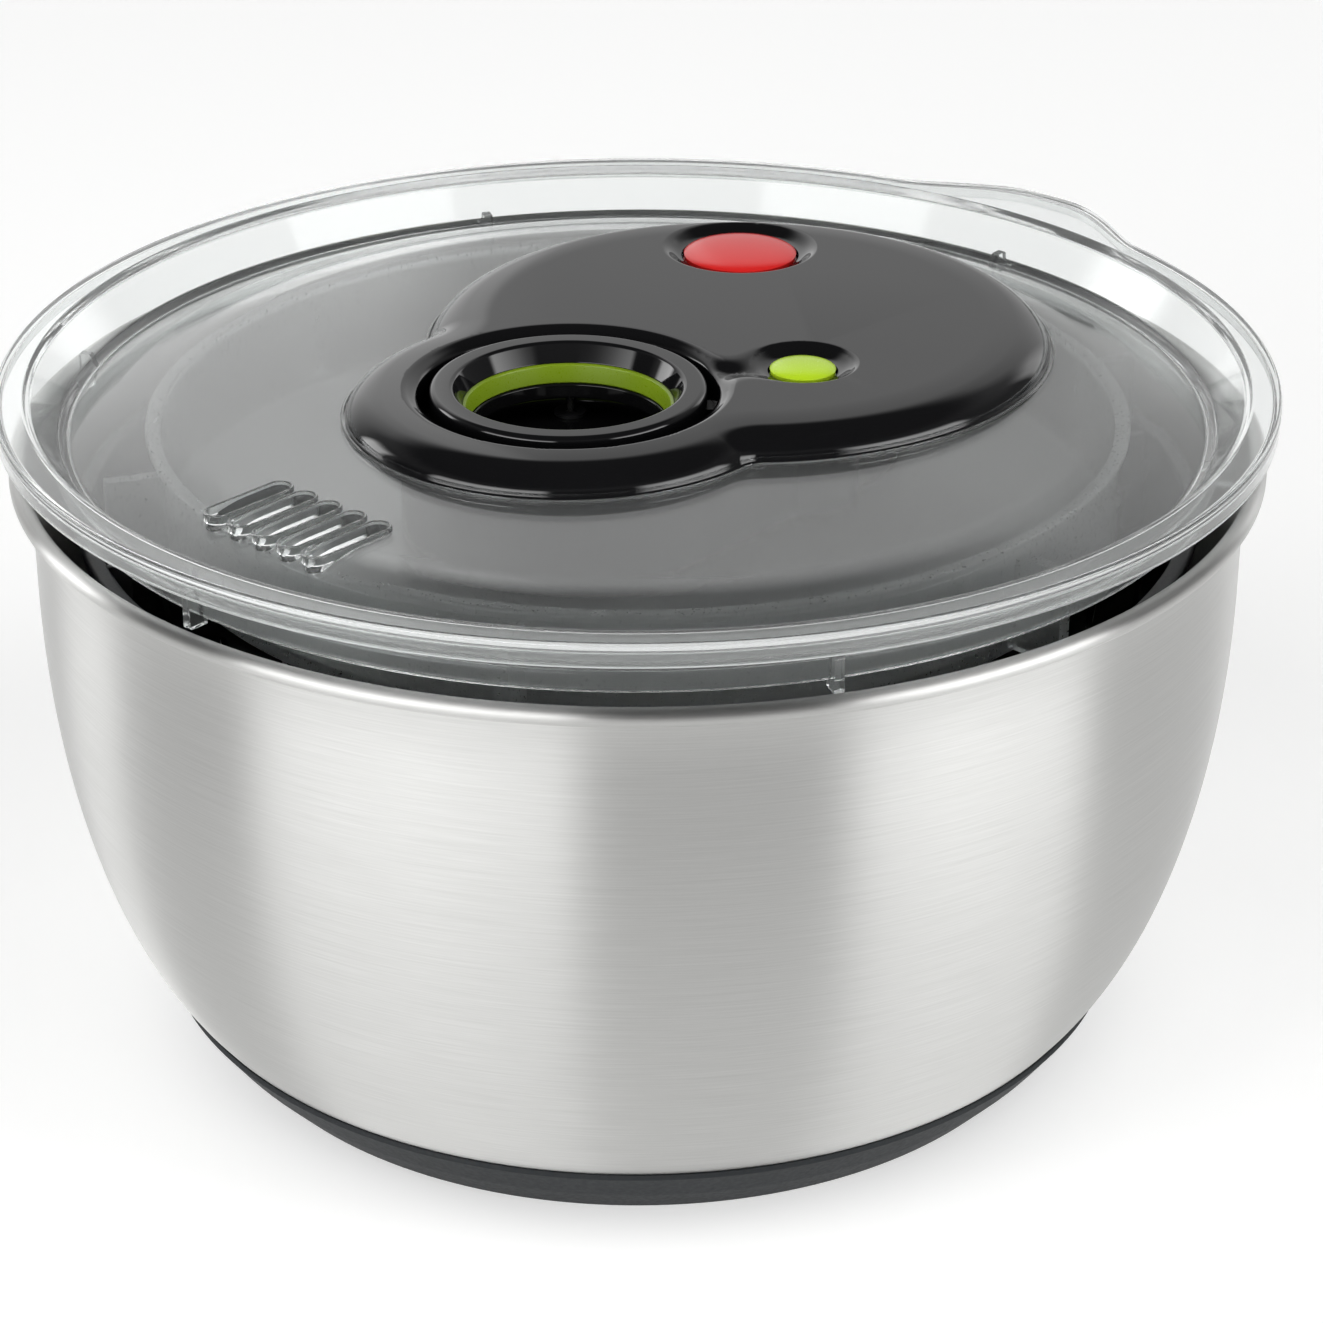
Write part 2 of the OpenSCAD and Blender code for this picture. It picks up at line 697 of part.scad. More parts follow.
module ring_insert() {
    color("yellowgreen") at_lid() translate([0, ring_y, 0]) lathe([[20.1, -6.5], [21.6, -6.5],
        [21.6, -2.4], [20.8, -2.6]]);
}

module cord_ferrule() {
    color("gold") at_lid() translate([cord_x, riser_y, 0]) post(1.5, -8.8, -5.6);
}

module pull_cord_riser() {
    color("#26262a") at_lid() translate([cord_x, riser_y, 0]) post(cord_d / 2, pulley_z + 0.2, -8.8);
}

module brake_button() {
    color("red") at_lid() translate([brake_at[0], brake_at[1], 0]) {
        difference() {
            lathe(concat([[0, -3.4], [brake_r, -3.4]],
                [for (i = [0:6]) [brake_r * cos(i * 15), brake_edge_z + brake_crown * sin(i * 15)]]));
            ring(brake_r - 1.5, brake_stem_r, -4, -2);
        }
        post(brake_stem_r, brake_stem_z, -3);
    }
}

module brake_pad() {
    color("#303033") at_lid() translate([brake_at[0], brake_at[1], 0])
        post(6, brake_stem_z - brake_pad_h, brake_stem_z);
}

module brake_spring() {
    color("silver") at_lid() translate([brake_at[0], brake_at[1], 0]) coil(4.6, 0.45, -12, -2, 5);
}

module release_button() {
    color("yellowgreen") at_lid() translate([release_at[0], release_at[1], 0]) {
        difference() {
            lathe(concat([[0, release_skirt_z], [release_r, release_skirt_z]],
                [for (i = [0:6]) [release_r * cos(i * 15), release_edge_z + release_crown * sin(i * 15)]]));
            ring(release_r - 1.2, release_stem_r, -4, -2.2);
        }
        post(release_stem_r, -14.8, -2.5);
    }
}

module release_spring() {
    color("silver") at_lid() translate([release_at[0], release_at[1], 0])
        coil(3.9, 0.35, well_floor + floor_t, -2.2, 5);
}

// Local frame of the ring catch: +X from the release button away from the pull ring
module catch_frame() {
    translate([release_at[0], release_at[1], 0]) rotate(catch_turn) children();
}

module ring_catch() {
    nose = ring_r + 0.35 - catch_far;
    wide = 5;
    low = -14.6;
    knee = -15.5;
    color("silver") at_lid() catch_frame() difference() {
        union() {
            translate([knee, -wide / 2, low]) cube([20.5, wide, 1.8]);
            translate([knee, -wide / 2, low]) cube([2.5, wide, 8.6]);
            translate([nose, -wide / 2, -8]) cube([knee + 2.5 - nose, wide, 2]);
        }
        translate([-3.8, -wide / 2 + 0.1, low - 1.4]) cube([6.4, wide - 0.2, 4]);
    }
}

bowl();
non_slip_base();
bowl_pivot();
basket();
basket_bearing();
lid();
drive_cover();
drive_base();
housing_screws();
drum_axle();
output_bush();
cord_guide();
pulley_pin();
spring_cap();
return_spring();
pull_cord_run();
driver_disc();
clutch_cover();
clutch_screws();
pawl_pins();
pawl_front();
pawl_rear();
pinion();
ratchet_wheel();
thrust_washer();
retaining_clip();
cord_drum();
drive_gear();
cord_winding();
guide_pulley();
pull_ring();
ring_insert();
cord_ferrule();
pull_cord_riser();
brake_button();
brake_pad();
brake_spring();
release_button();
release_spring();
ring_catch();
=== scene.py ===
"""Salad spinner: a brushed steel bowl on a rubber base, a slotted black basket, a clear lid and
a pull-ring drive with a brake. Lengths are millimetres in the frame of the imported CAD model."""
import math

import bmesh
import bpy
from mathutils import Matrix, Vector
from mathutils.geometry import delaunay_2d_cdt


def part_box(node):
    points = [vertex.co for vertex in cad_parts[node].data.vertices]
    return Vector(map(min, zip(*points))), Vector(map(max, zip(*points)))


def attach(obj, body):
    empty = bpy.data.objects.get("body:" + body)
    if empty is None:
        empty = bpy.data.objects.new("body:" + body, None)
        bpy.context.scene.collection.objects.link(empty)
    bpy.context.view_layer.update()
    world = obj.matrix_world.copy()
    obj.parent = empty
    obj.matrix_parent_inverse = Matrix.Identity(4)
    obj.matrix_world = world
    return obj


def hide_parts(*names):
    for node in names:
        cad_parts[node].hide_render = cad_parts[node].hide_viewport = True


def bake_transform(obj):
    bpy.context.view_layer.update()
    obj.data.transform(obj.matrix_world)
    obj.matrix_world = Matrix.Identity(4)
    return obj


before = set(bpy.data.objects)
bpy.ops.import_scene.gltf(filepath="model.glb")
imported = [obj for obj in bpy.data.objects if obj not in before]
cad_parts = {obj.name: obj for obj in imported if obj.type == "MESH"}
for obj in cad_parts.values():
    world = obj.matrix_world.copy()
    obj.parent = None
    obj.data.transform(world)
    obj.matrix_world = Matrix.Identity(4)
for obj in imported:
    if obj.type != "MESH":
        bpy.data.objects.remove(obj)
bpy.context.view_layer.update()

MM = 0.001
TURN = 2 * math.pi
EPS = 0.01
WELD = 2e-4
COVER_WELD = 5e-3
MERGE = 1e-5
NORMAL_WEIGHT = 60

# Share of a noise texture's values that is used, and the sockets of a colour mix
NOISE_RANGE = (0.25, 0.75)
MIX_FACTOR = 0
MIX_A = 6
MIX_B = 7
MIX_RESULT = 2


def low(node):
    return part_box(node)[0] / MM


def high(node):
    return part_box(node)[1] / MM


# Bowl: an ellipse above the foot and a tangent arc below it, as in the CAD
RIM_R = high("bowl").x
RIM_Z = high("bowl").z
BASE_T = low("bowl").z
STEEL = 1.0
BOWL_R = 125.8
SHOULDER_Z = 105.0
CURVE_H = 100.0
FOOT_R = 103.5
BASE_TOP = high("non_slip_base").z
FOOT_U = (SHOULDER_Z - BASE_TOP) / CURVE_H
WALL_A = (BOWL_R - FOOT_R) / (1 - math.sqrt(1 - FOOT_U**2))
FOOT_SLOPE = WALL_A * FOOT_U / CURVE_H / math.sqrt(1 - FOOT_U**2)
FOOT_LEN = math.hypot(FOOT_SLOPE, 1)
FOOT_ARC = (BASE_TOP - BASE_T) / (1 - FOOT_SLOPE / FOOT_LEN)
FOOT_C = (FOOT_R - FOOT_ARC / FOOT_LEN, BASE_TOP + FOOT_ARC * FOOT_SLOPE / FOOT_LEN)
ROLL_R = 1.85
FLARE_Z = 116.0
FLARE = 1.0

# Rubber base
BASE_R = 93.5
BASE_GAP = 0.05
BASE_LIP = 0.8
GROOVE_DEPTH = 0.5

# Basket
BASKET_GAP = 10.5
BASKET_T = 1.8
BASKET_Z = high("basket").z
BASKET_FLOOR = low("basket").z
BASKET_BEAD = 1.6
BOSS_TOP = 30
BEARING_R = 6
LUG_N = 6
LUG_RIB_R = 108.5
LUG_RIB_Y = 4.2
LUG_RIB_T = 1.6
LUG_RIB_Z = 96
WALL_SLOT_N = 36
WALL_SLOT_W = 3
WALL_SLOT_ROWS = ((32, 58), (64, 92))
WALL_SLOT_REACH = (80, 124)
FLOOR_SLOT_N = 18
FLOOR_SLOT_R = 49
FLOOR_SLOT_W = 3.2
FLOOR_SLOT_L = 46

# Driver disc, with levels counted from the top of the lid's flange
DISC_R = 100.0
DISC_TOP = -31.8
DISC_LOW = -33.6

# Lid, with levels counted from the top of its flange
LID_Z = high("lid").z
LID_R = -low("lid").x
PANEL_Z = -4.5
LID_T = 2.0
SKIRT_R = 120.5
SKIRT_Z = -15.5
TAB_R = high("lid").y
TAB_HALF = 36
TAB_FLANK = 32
TAB_FROM_R = 127
TAB_BLEND = 3.6
SLOT_PITCH = 6.9
SLOT_W = 4.2
SLOT_RIM = 0.75
SLOT_TOP = PANEL_Z + 0.9
SLOT_EDGE = 0.35
SLOT_Y = (-106.0, -84.5)
CUT = (-20, 5)

# Drive housing
RING_Y = (low("pull_ring").y + high("pull_ring").y) / 2
RING_C = (0.0, RING_Y)
REAR_Y = 31.7
DRUM_C = (0.0, 32.0)
FRONT_R = 45.5
REAR_R = 66.0
WAIST_R = 7.0
COVER_Z = 1.6
RECESS_R = 30.7
RECESS_Z = -15.0
RECESS_WALL = 1.8
RECESS_FLOOR = 1.5
BRAKE_C = (-28.2, 63.7)
BRAKE_R = 12.8
BRAKE_HOLE_R = BRAKE_R + 0.3
RELEASE_C = (27.2, 20.7)
RELEASE_R = 7.0
RELEASE_HOLE_R = RELEASE_R + 0.3
WELL_R = RELEASE_HOLE_R + 1.7
STEM_HOLE_R = 2.25
SCREWS = ((-39, -8), (39, -8), (-39, 44), (39, 44))
TUB_R = 34.5
LOBE_R = 12
CORD_R = 0.75
CORD_X = -16.75
CORD_C = (CORD_X, RING_Y + math.sqrt(24.45**2 - CORD_X**2))
CORD_HOLE_R = 2.6
SPRING_TURNS = 5
SPRING_STEPS = 24

# Cover's edge: the small step at its foot, the rounding, and the gentle fall of its shoulder
STEP_W = 0.45
STEP_Z = -3.5
EDGE_W = 7.5
SPLIT_TURN = 66.0
SHOULDER_W = 13.5
SHOULDER_FALL = 1.5

# Cover's top: the recess's lip, the dishes round the buttons and the valley to the lime button
LIP_W = 3.4
LIP_DROP = 2.2
GREEN_DISH_R = 11.9
GREEN_DISH_DROP = 1.9
RED_DISH_R = 17.5
RED_DISH_DROP = 2.0
NECK_W = 3.6
NECK_DROP = 1.5
VALLEY_W = 4.6
VALLEY_BLEND = 8.0
VALLEY_GRID = 0.75
VALLEY_REACH = 24

# Holes in the cover's top, as (middle, radius, points)
HOLES = ((RING_C, RECESS_R, 200), (BRAKE_C, BRAKE_HOLE_R, 96), (RELEASE_C, RELEASE_HOLE_R, 72))

# Room under the cover, and the posts left in it, as (middle, radius)
COVER_WALL = 5
ROOF_T = 2.6
POSTS = ((RING_C, RECESS_R + 4.4), (BRAKE_C, BRAKE_R + 6.2), (RELEASE_C, RELEASE_R + 7),
         (DRUM_C, 6.0), *((screw, 3.6) for screw in SCREWS))


# ---- outlines and profiles

def wall_point(inset, z):
    """Point of the bowl's wall curve at a height, moved inward along its normal."""
    u = (SHOULDER_Z - z) / CURVE_H
    slope = WALL_A * u / CURVE_H / math.sqrt(1 - u * u)
    size = math.hypot(slope, 1)
    return (BOWL_R - WALL_A * (1 - math.sqrt(1 - u * u)) - inset / size, z + inset * slope / size)


def foot_point(inset, angle):
    r = FOOT_ARC - inset
    return (FOOT_C[0] + r * math.cos(angle), FOOT_C[1] + r * math.sin(angle))


def bowl_curve(inset, top, steps=28):
    """Section from the axis, round the foot and up the wall to the height top."""
    end = math.atan2(BASE_TOP - FOOT_C[1], FOOT_R - FOOT_C[0])
    start = -math.pi / 2
    points = [(0, BASE_T + inset)]
    points += [foot_point(inset, start + (end - start) * i / 12) for i in range(13)]
    for i in range(1, steps + 1):
        points.append(wall_point(inset, BASE_TOP + (SHOULDER_Z - BASE_TOP) * i / steps))
    return points + [(BOWL_R - inset, top)]


def arc(centre, radius, start, end, steps):
    """Points on an arc, angles in degrees, both ends included."""
    points = []
    for i in range(steps + 1):
        a = math.radians(start + (end - start) * i / steps)
        points.append((centre[0] + radius * math.cos(a), centre[1] + radius * math.sin(a)))
    return points


def rounded(corners, steps=5, closed=True):
    """Profile from (r, z, fillet radius) corners."""
    points = []
    count = len(corners)
    for i, (x, y, radius) in enumerate(corners):
        here = Vector((x, y))
        if radius == 0 or (not closed and i in (0, count - 1)):
            points.append((x, y))
            continue
        back = Vector(corners[i - 1][:2]) - here
        ahead = Vector(corners[(i + 1) % count][:2]) - here
        half = back.angle(ahead) / 2
        reach = min(radius / math.tan(half), back.length * 0.48, ahead.length * 0.48)
        centre = here + (back.normalized() + ahead.normalized()).normalized() * reach / math.cos(half)
        first = here + back.normalized() * reach - centre
        last = here + ahead.normalized() * reach - centre
        sweep = first.angle_signed(last)
        for k in range(steps + 1):
            a = -sweep * k / steps
            turn = Vector((first.x * math.cos(a) - first.y * math.sin(a),
                           first.x * math.sin(a) + first.y * math.cos(a)))
            points.append(tuple(centre + turn))
    return points


def circle(centre, radius, count=96):
    return arc(centre, radius, 0, 360, count)[:-1]


def stadium(centre, width, length, steps=14):
    """Outline with round ends, long in Y."""
    x, y = centre
    reach = (length - width) / 2
    return (arc((x, y + reach), width / 2, 0, 180, steps)
            + arc((x, y - reach), width / 2, 180, 360, steps))


# ---- mesh building

def at(outline, z):
    """An outline's points at one height."""
    return [(x, y, z) for x, y in outline]


def loft(bm, loops):
    """Quads between closed loops of equal length; returns the rows of vertices."""
    rows = [[bm.verts.new(p) for p in loop] for loop in loops]
    for a, b in zip(rows, rows[1:]):
        count = len(a)
        for i in range(count):
            j = (i + 1) % count
            bm.faces.new((a[i], a[j], b[j], b[i]))
    return rows


def closed_loft(bm, loops):
    """Loft with a flat cap on each end."""
    rows = loft(bm, loops)
    bm.faces.new(list(reversed(rows[0])))
    bm.faces.new(rows[-1])


def lathe(bm, profile, centre=(0, 0), z=0, angles=None, segments=160, ring=False, warp=None,
          material=None):
    """Turned solid. A ring's profile closes on itself, any other starts and ends on the axis."""
    angles = angles or [TURN * i / segments for i in range(segments)]
    rows = []
    for r, h in profile:
        if r == 0:
            rows.append([bm.verts.new((centre[0], centre[1], z + h))])
            continue
        row = []
        for a in angles:
            s = warp(r, a) if warp else r
            row.append(bm.verts.new((centre[0] + s * math.cos(a), centre[1] + s * math.sin(a), z + h)))
        rows.append(row)
    pairs = list(zip(rows, rows[1:]))
    if ring:
        pairs.append((rows[-1], rows[0]))
    for k, (a, b) in enumerate(pairs):
        faces = lathe_faces(bm, a, b, len(angles))
        if material:
            for face in faces:
                face.material_index = material(profile[k], profile[(k + 1) % len(profile)])


def lathe_faces(bm, a, b, count):
    """Faces between two rows, either of which may be a single vertex on the axis."""
    faces = []
    for i in range(count):
        j = (i + 1) % count
        if len(a) == 1 and len(b) == 1:
            continue
        if len(a) == 1:
            faces.append(bm.faces.new((a[0], b[j], b[i])))
        elif len(b) == 1:
            faces.append(bm.faces.new((a[i], a[j], b[0])))
        else:
            faces.append(bm.faces.new((a[i], a[j], b[j], b[i])))
    return faces


def prism(bm, outline, z0, z1, chamfer=0.0):
    """Closed upright solid over an outline, with its ends drawn in by a small chamfer."""
    cx = sum(p[0] for p in outline) / len(outline)
    cy = sum(p[1] for p in outline) / len(outline)
    size = max(math.hypot(p[0] - cx, p[1] - cy) for p in outline)
    inner = [(cx + (x - cx) * (1 - chamfer / size), cy + (y - cy) * (1 - chamfer / size))
             for x, y in outline]
    levels = [(outline, z0), (outline, z1)]
    if chamfer:
        levels = [(inner, z0), (outline, z0 + chamfer), (outline, z1 - chamfer), (inner, z1)]
    closed_loft(bm, [at(line, z) for line, z in levels])


def fill(bm, loops, keep, height, extra=()):
    """Triangles between closed outlines, where keep(x, y) holds, at height(x, y)."""
    points = []
    edges = []
    for loop in loops:
        first = len(points)
        points += [Vector(p) for p in loop]
        edges += [(first + i, first + (i + 1) % len(loop)) for i in range(len(loop))]
    points += [Vector(p) for p in extra]
    found, _, faces, _, _, _ = delaunay_2d_cdt(points, edges, [], 0, MERGE)
    verts = {}
    for face in faces:
        x = sum(found[i].x for i in face) / len(face)
        y = sum(found[i].y for i in face) / len(face)
        if not keep(x, y):
            continue
        for i in face:
            if i not in verts:
                verts[i] = bm.verts.new((found[i].x, found[i].y, height(found[i].x, found[i].y)))
        bm.faces.new([verts[i] for i in face])


def new_object(bm, name, weld=WELD):
    """Object in metres from a bmesh in millimetres, welded and with outward normals."""
    bmesh.ops.remove_doubles(bm, verts=bm.verts, dist=weld)
    bmesh.ops.recalc_face_normals(bm, faces=bm.faces)
    bmesh.ops.scale(bm, vec=(MM, MM, MM), verts=bm.verts)
    mesh = bpy.data.meshes.new(name)
    bm.to_mesh(mesh)
    bm.free()
    obj = bpy.data.objects.new(name, mesh)
    bpy.context.scene.collection.objects.link(obj)
    return obj


def lathe_object(name, profile, **options):
    bm = bmesh.new()
    lathe(bm, profile, **options)
    return new_object(bm, name)


def combine(obj, bm, operation):
    """Boolean of obj with the solids in bm: UNION or DIFFERENCE."""
    tool = new_object(bm, obj.name + ".tool")
    modifier = obj.modifiers.new("combine", "BOOLEAN")
    modifier.operation = operation
    modifier.solver = "MANIFOLD"
    modifier.object = tool
    graph = bpy.context.evaluated_depsgraph_get()
    mesh = bpy.data.meshes.new_from_object(obj.evaluated_get(graph))
    obj.modifiers.clear()
    obj.data = mesh
    bpy.data.objects.remove(tool)


def combine_all(obj, steps):
    """Booleans in order, each with the solids that one function adds to a bmesh."""
    for add, operation in steps:
        bm = bmesh.new()
        add(bm)
        combine(obj, bm, operation)


def smooth(obj, angle=32, weighted=True):
    """Smooth shading that keeps edges sharper than the angle, in degrees."""
    obj.data.shade_smooth()
    obj.data.set_sharp_from_angle(angle=math.radians(angle))
    if weighted:
        modifier = obj.modifiers.new("normals", "WEIGHTED_NORMAL")
        modifier.keep_sharp = True
        modifier.weight = NORMAL_WEIGHT


def place(obj, body, slot, materials, *nodes):
    """Rides obj on a body, gives it its materials and hides the CAD nodes that it stands for."""
    obj.data.materials.clear()
    for material in materials:
        obj.data.materials.append(material)
    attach(obj, body)
    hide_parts(*nodes)


# ---- materials

def surface(name, colour, roughness, metallic=0.0):
    """Material with one Principled shader; returns it with its node tree and shader."""
    material = bpy.data.materials.new(name)
    material.use_nodes = True
    tree = material.node_tree
    shader = tree.nodes["Principled BSDF"]
    feed(tree, shader, {"Base Color": (*colour, 1), "Roughness": roughness, "Metallic": metallic})
    return material, tree, shader


def feed(tree, target, inputs):
    """Gives each named input of a node a value, or a link where an output is given."""
    for key, value in inputs.items():
        if isinstance(value, bpy.types.NodeSocket):
            tree.links.new(value, target.inputs[key])
        else:
            target.inputs[key].default_value = value


def node(tree, kind, inputs=None, **values):
    """New node of a kind, with its properties set and its inputs fed."""
    made = tree.nodes.new(kind)
    for key, value in values.items():
        setattr(made, key, value)
    feed(tree, made, inputs or {})
    return made


def noise(tree, scale, detail=3.0, stretch=(1, 1, 1)):
    """Noise over the object's own coordinates, in features per metre."""
    source = node(tree, "ShaderNodeTexCoord")
    mapping = node(tree, "ShaderNodeMapping", {"Vector": source.outputs["Object"], "Scale": stretch})
    texture = node(tree, "ShaderNodeTexNoise",
                   {"Vector": mapping.outputs["Vector"], "Scale": scale, "Detail": detail})
    return texture.outputs["Fac"]


def remap(tree, value, start, end, lowest=0.0, highest=1.0, **kind):
    """Maps the range from start to end onto the one from lowest to highest."""
    mapped = node(tree, "ShaderNodeMapRange", {"Value": value, "From Min": start, "From Max": end,
                                               "To Min": lowest, "To Max": highest}, **kind)
    return mapped.outputs["Result"]


def spread(tree, factor, lowest, highest):
    """Maps a noise factor onto a range of values."""
    return remap(tree, factor, *NOISE_RANGE, lowest, highest)


def bump(tree, shader, factor, distance, strength=1.0):
    """Relief of a given depth in metres from a factor."""
    made = node(tree, "ShaderNodeBump", {"Strength": strength, "Distance": distance, "Height": factor})
    tree.links.new(made.outputs["Normal"], shader.inputs["Normal"])


def tint(tree, shader, factor, dark, light):
    """Colour that varies between two shades."""
    mixed = node(tree, "ShaderNodeMix", {MIX_FACTOR: factor, MIX_A: (*dark, 1), MIX_B: (*light, 1)},
                 data_type="RGBA")
    tree.links.new(mixed.outputs[MIX_RESULT], shader.inputs["Base Color"])


def about_z(tree, vector):
    """A vector's angle about the Z axis, and its height."""
    split = node(tree, "ShaderNodeSeparateXYZ", {"Vector": vector})
    angle = node(tree, "ShaderNodeMath", {0: split.outputs["Y"], 1: split.outputs["X"]},
                 operation="ARCTAN2")
    return angle.outputs[0], split.outputs["Z"]


def round_coordinates(tree, along, up):
    """Vector (angle, height) about the Z axis, for marks that run round the object."""
    angle, height = about_z(tree, node(tree, "ShaderNodeTexCoord").outputs["Object"])
    x, y = (node(tree, "ShaderNodeMath", {0: value, 1: scale}, operation="MULTIPLY").outputs[0]
            for value, scale in ((angle, along), (height, up)))
    return node(tree, "ShaderNodeCombineXYZ", {"X": x, "Y": y}).outputs["Vector"]


def brushed_steel():
    """Stainless steel brushed round the bowl: fine lines of uneven length and depth."""
    material, tree, shader = surface("brushed_steel", (0.55, 0.55, 0.54), 0.35, 1.0)
    lines = node(tree, "ShaderNodeTexNoise", {"Vector": round_coordinates(tree, 5.0, 2600.0),
                                              "Scale": 1.0, "Detail": 4.0, "Roughness": 0.65})
    grain = lines.outputs["Fac"]
    tint(tree, shader, spread(tree, grain, 0, 1), (0.5, 0.5, 0.49), (0.6, 0.6, 0.59))
    bump(tree, shader, grain, 0.00004, 0.25)
    tangent = node(tree, "ShaderNodeTangent", direction_type="RADIAL", axis="Z")
    feed(tree, shader, {"Roughness": spread(tree, grain, 0.32, 0.38), "Anisotropic": 1.0,
                        "Anisotropic Rotation": 0.25, "Tangent": tangent.outputs["Tangent"]})
    return material


def polished_steel():
    """Mirror-like steel of the rolled rim and the bowl's inside, with faint polishing haze."""
    material, tree, shader = surface("polished_steel", (0.62, 0.62, 0.61), 0.12, 1.0)
    feed(tree, shader, {"Roughness": spread(tree, noise(tree, 60, 4), 0.09, 0.17)})
    return material


def base_rubber():
    material, tree, shader = surface("base_rubber", (0.011, 0.013, 0.0145), 0.6)
    grain = noise(tree, 900, 4)
    tint(tree, shader, noise(tree, 40), (0.0095, 0.0115, 0.013), (0.013, 0.015, 0.017))
    bump(tree, shader, grain, 0.0001, 0.3)
    feed(tree, shader, {"Roughness": spread(tree, grain, 0.55, 0.7), "Specular IOR Level": 0.25})
    return material


def clear_plastic():
    """Clear moulded plastic with a slight cool tint and faint flow marks."""
    material, tree, shader = surface("clear_plastic", (0.955, 0.975, 0.97), 0.06)
    feed(tree, shader, {"Transmission Weight": 0.95, "IOR": 1.5,
                        "Roughness": spread(tree, noise(tree, 30, 3), 0.04, 0.08)})
    bump(tree, shader, noise(tree, 22, 1), 0.0002, 0.12)
    return material


def frosted_plastic():
    """Hazy translucent plastic of the driver's dish."""
    material, tree, shader = surface("frosted_plastic", (0.9, 0.92, 0.915), 0.3)
    grain = noise(tree, 1500, 2)
    feed(tree, shader, {"Transmission Weight": 0.94, "IOR": 1.5,
                        "Roughness": spread(tree, grain, 0.25, 0.36)})
    bump(tree, shader, grain, 0.00003, 0.2)
    return material


def moulded(name, dark, light, roughness, grain=1400.0, depth=0.00003):
    """Moulded plastic: a slightly uneven colour and a very fine grain."""
    material, tree, shader = surface(name, light, roughness)
    tint(tree, shader, noise(tree, 35, 2), dark, light)
    fine = noise(tree, grain, 2)
    feed(tree, shader, {"Roughness": spread(tree, fine, roughness * 0.85, roughness * 1.15)})
    bump(tree, shader, fine, depth, 0.15)
    return material


def machined(name, colour, roughness):
    """Bright metal of pins, springs and screws with fine tool marks."""
    material, tree, shader = surface(name, colour, roughness, 1.0)
    marks = noise(tree, 500, 3, (1, 1, 8))
    feed(tree, shader, {"Roughness": spread(tree, marks, roughness * 0.7, roughness * 1.4)})
    bump(tree, shader, marks, 0.00003, 0.2)
    return material


def cord_fibre():
    """Braided cord: crossing strands along its length."""
    material, tree, shader = surface("cord_fibre", (0.03, 0.03, 0.032), 0.8)
    source = node(tree, "ShaderNodeTexCoord")
    wave = node(tree, "ShaderNodeTexWave",
                {"Vector": source.outputs["Object"], "Scale": 700, "Distortion": 1.5},
                wave_type="BANDS", bands_direction="DIAGONAL")
    tint(tree, shader, wave.outputs["Fac"], (0.018, 0.018, 0.02), (0.045, 0.045, 0.048))
    bump(tree, shader, wave.outputs["Fac"], 0.0001, 0.5)
    return material


STEEL_BRUSHED = brushed_steel()
STEEL_POLISHED = polished_steel()
RUBBER = base_rubber()
CLEAR = clear_plastic()
FROSTED = frosted_plastic()
BLACK_GLOSS = moulded("black_gloss", (0.003, 0.003, 0.0035), (0.005, 0.005, 0.0055), 0.05, 30, 0.0)
BLACK_SATIN = moulded("black_satin", (0.016, 0.016, 0.018), (0.024, 0.024, 0.026), 0.4, depth=0.000008)
BASKET_BLACK = moulded("basket_plastic", (0.014, 0.014, 0.016), (0.022, 0.022, 0.024), 0.38)
RED = moulded("red_plastic", (0.68, 0.014, 0.014), (0.76, 0.022, 0.02), 0.2, 3000, 0.00001)
LIME = moulded("lime_plastic", (0.46, 0.7, 0.014), (0.54, 0.78, 0.025), 0.25, 3000, 0.00001)
# The release button's lime plastic, darkened: painted shade for the band deep in the pull ring's hole
LIME_PAINTED_SHADE = moulded("lime_plastic_painted_shade", (0.17, 0.27, 0.009), (0.21, 0.31, 0.013), 0.3, 3000, 0.00001)
NYLON = moulded("natural_nylon", (0.74, 0.73, 0.68), (0.82, 0.81, 0.77), 0.4)
PIN_STEEL = machined("pin_steel", (0.75, 0.75, 0.76), 0.2)
SPRING_STEEL = machined("spring_steel", (0.5, 0.5, 0.52), 0.35)
BRONZE = machined("sintered_bronze", (0.62, 0.42, 0.22), 0.45)
BRASS = machined("ferrule_brass", (0.8, 0.6, 0.28), 0.25)
CORD = cord_fibre()

CAD_LOOKS = (
    (PIN_STEEL, ("bowl_pivot", "housing_screws", "drum_axle", "pulley_pin", "clutch_screws",
                 "pawl_pins", "ratchet_wheel")),
    (SPRING_STEEL, ("return_spring", "retaining_clip")),
    (BLACK_SATIN, ("drive_base", "cord_guide", "spring_cap", "clutch_cover", "ring_catch")),
    (NYLON, ("basket_bearing", "pinion", "cord_drum", "drive_gear", "guide_pulley")),
    (BRONZE, ("output_bush", "thrust_washer")),
    (BRASS, ("pawl_front", "pawl_rear", "cord_ferrule")),
    (CORD, ("pull_cord_run", "cord_winding")),
    (RUBBER, ("brake_pad",)))


def dress_cad_nodes():
    for material, names in CAD_LOOKS:
        for name in names:
            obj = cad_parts[name]
            if not obj.material_slots:
                obj.data.materials.append(material)
            for slot in obj.material_slots:
                slot.material = material


# ---- bowl and base

def flare(start_r, end, steps=8):
    """Inner points of the curve that takes the upright wall out to the rim's bead."""
    points = []
    for i in range(1, steps):
        t = i / steps
        points.append((start_r + (end[0] - start_r) * t**2.2, FLARE_Z + (end[1] - FLARE_Z) * t))
    return points


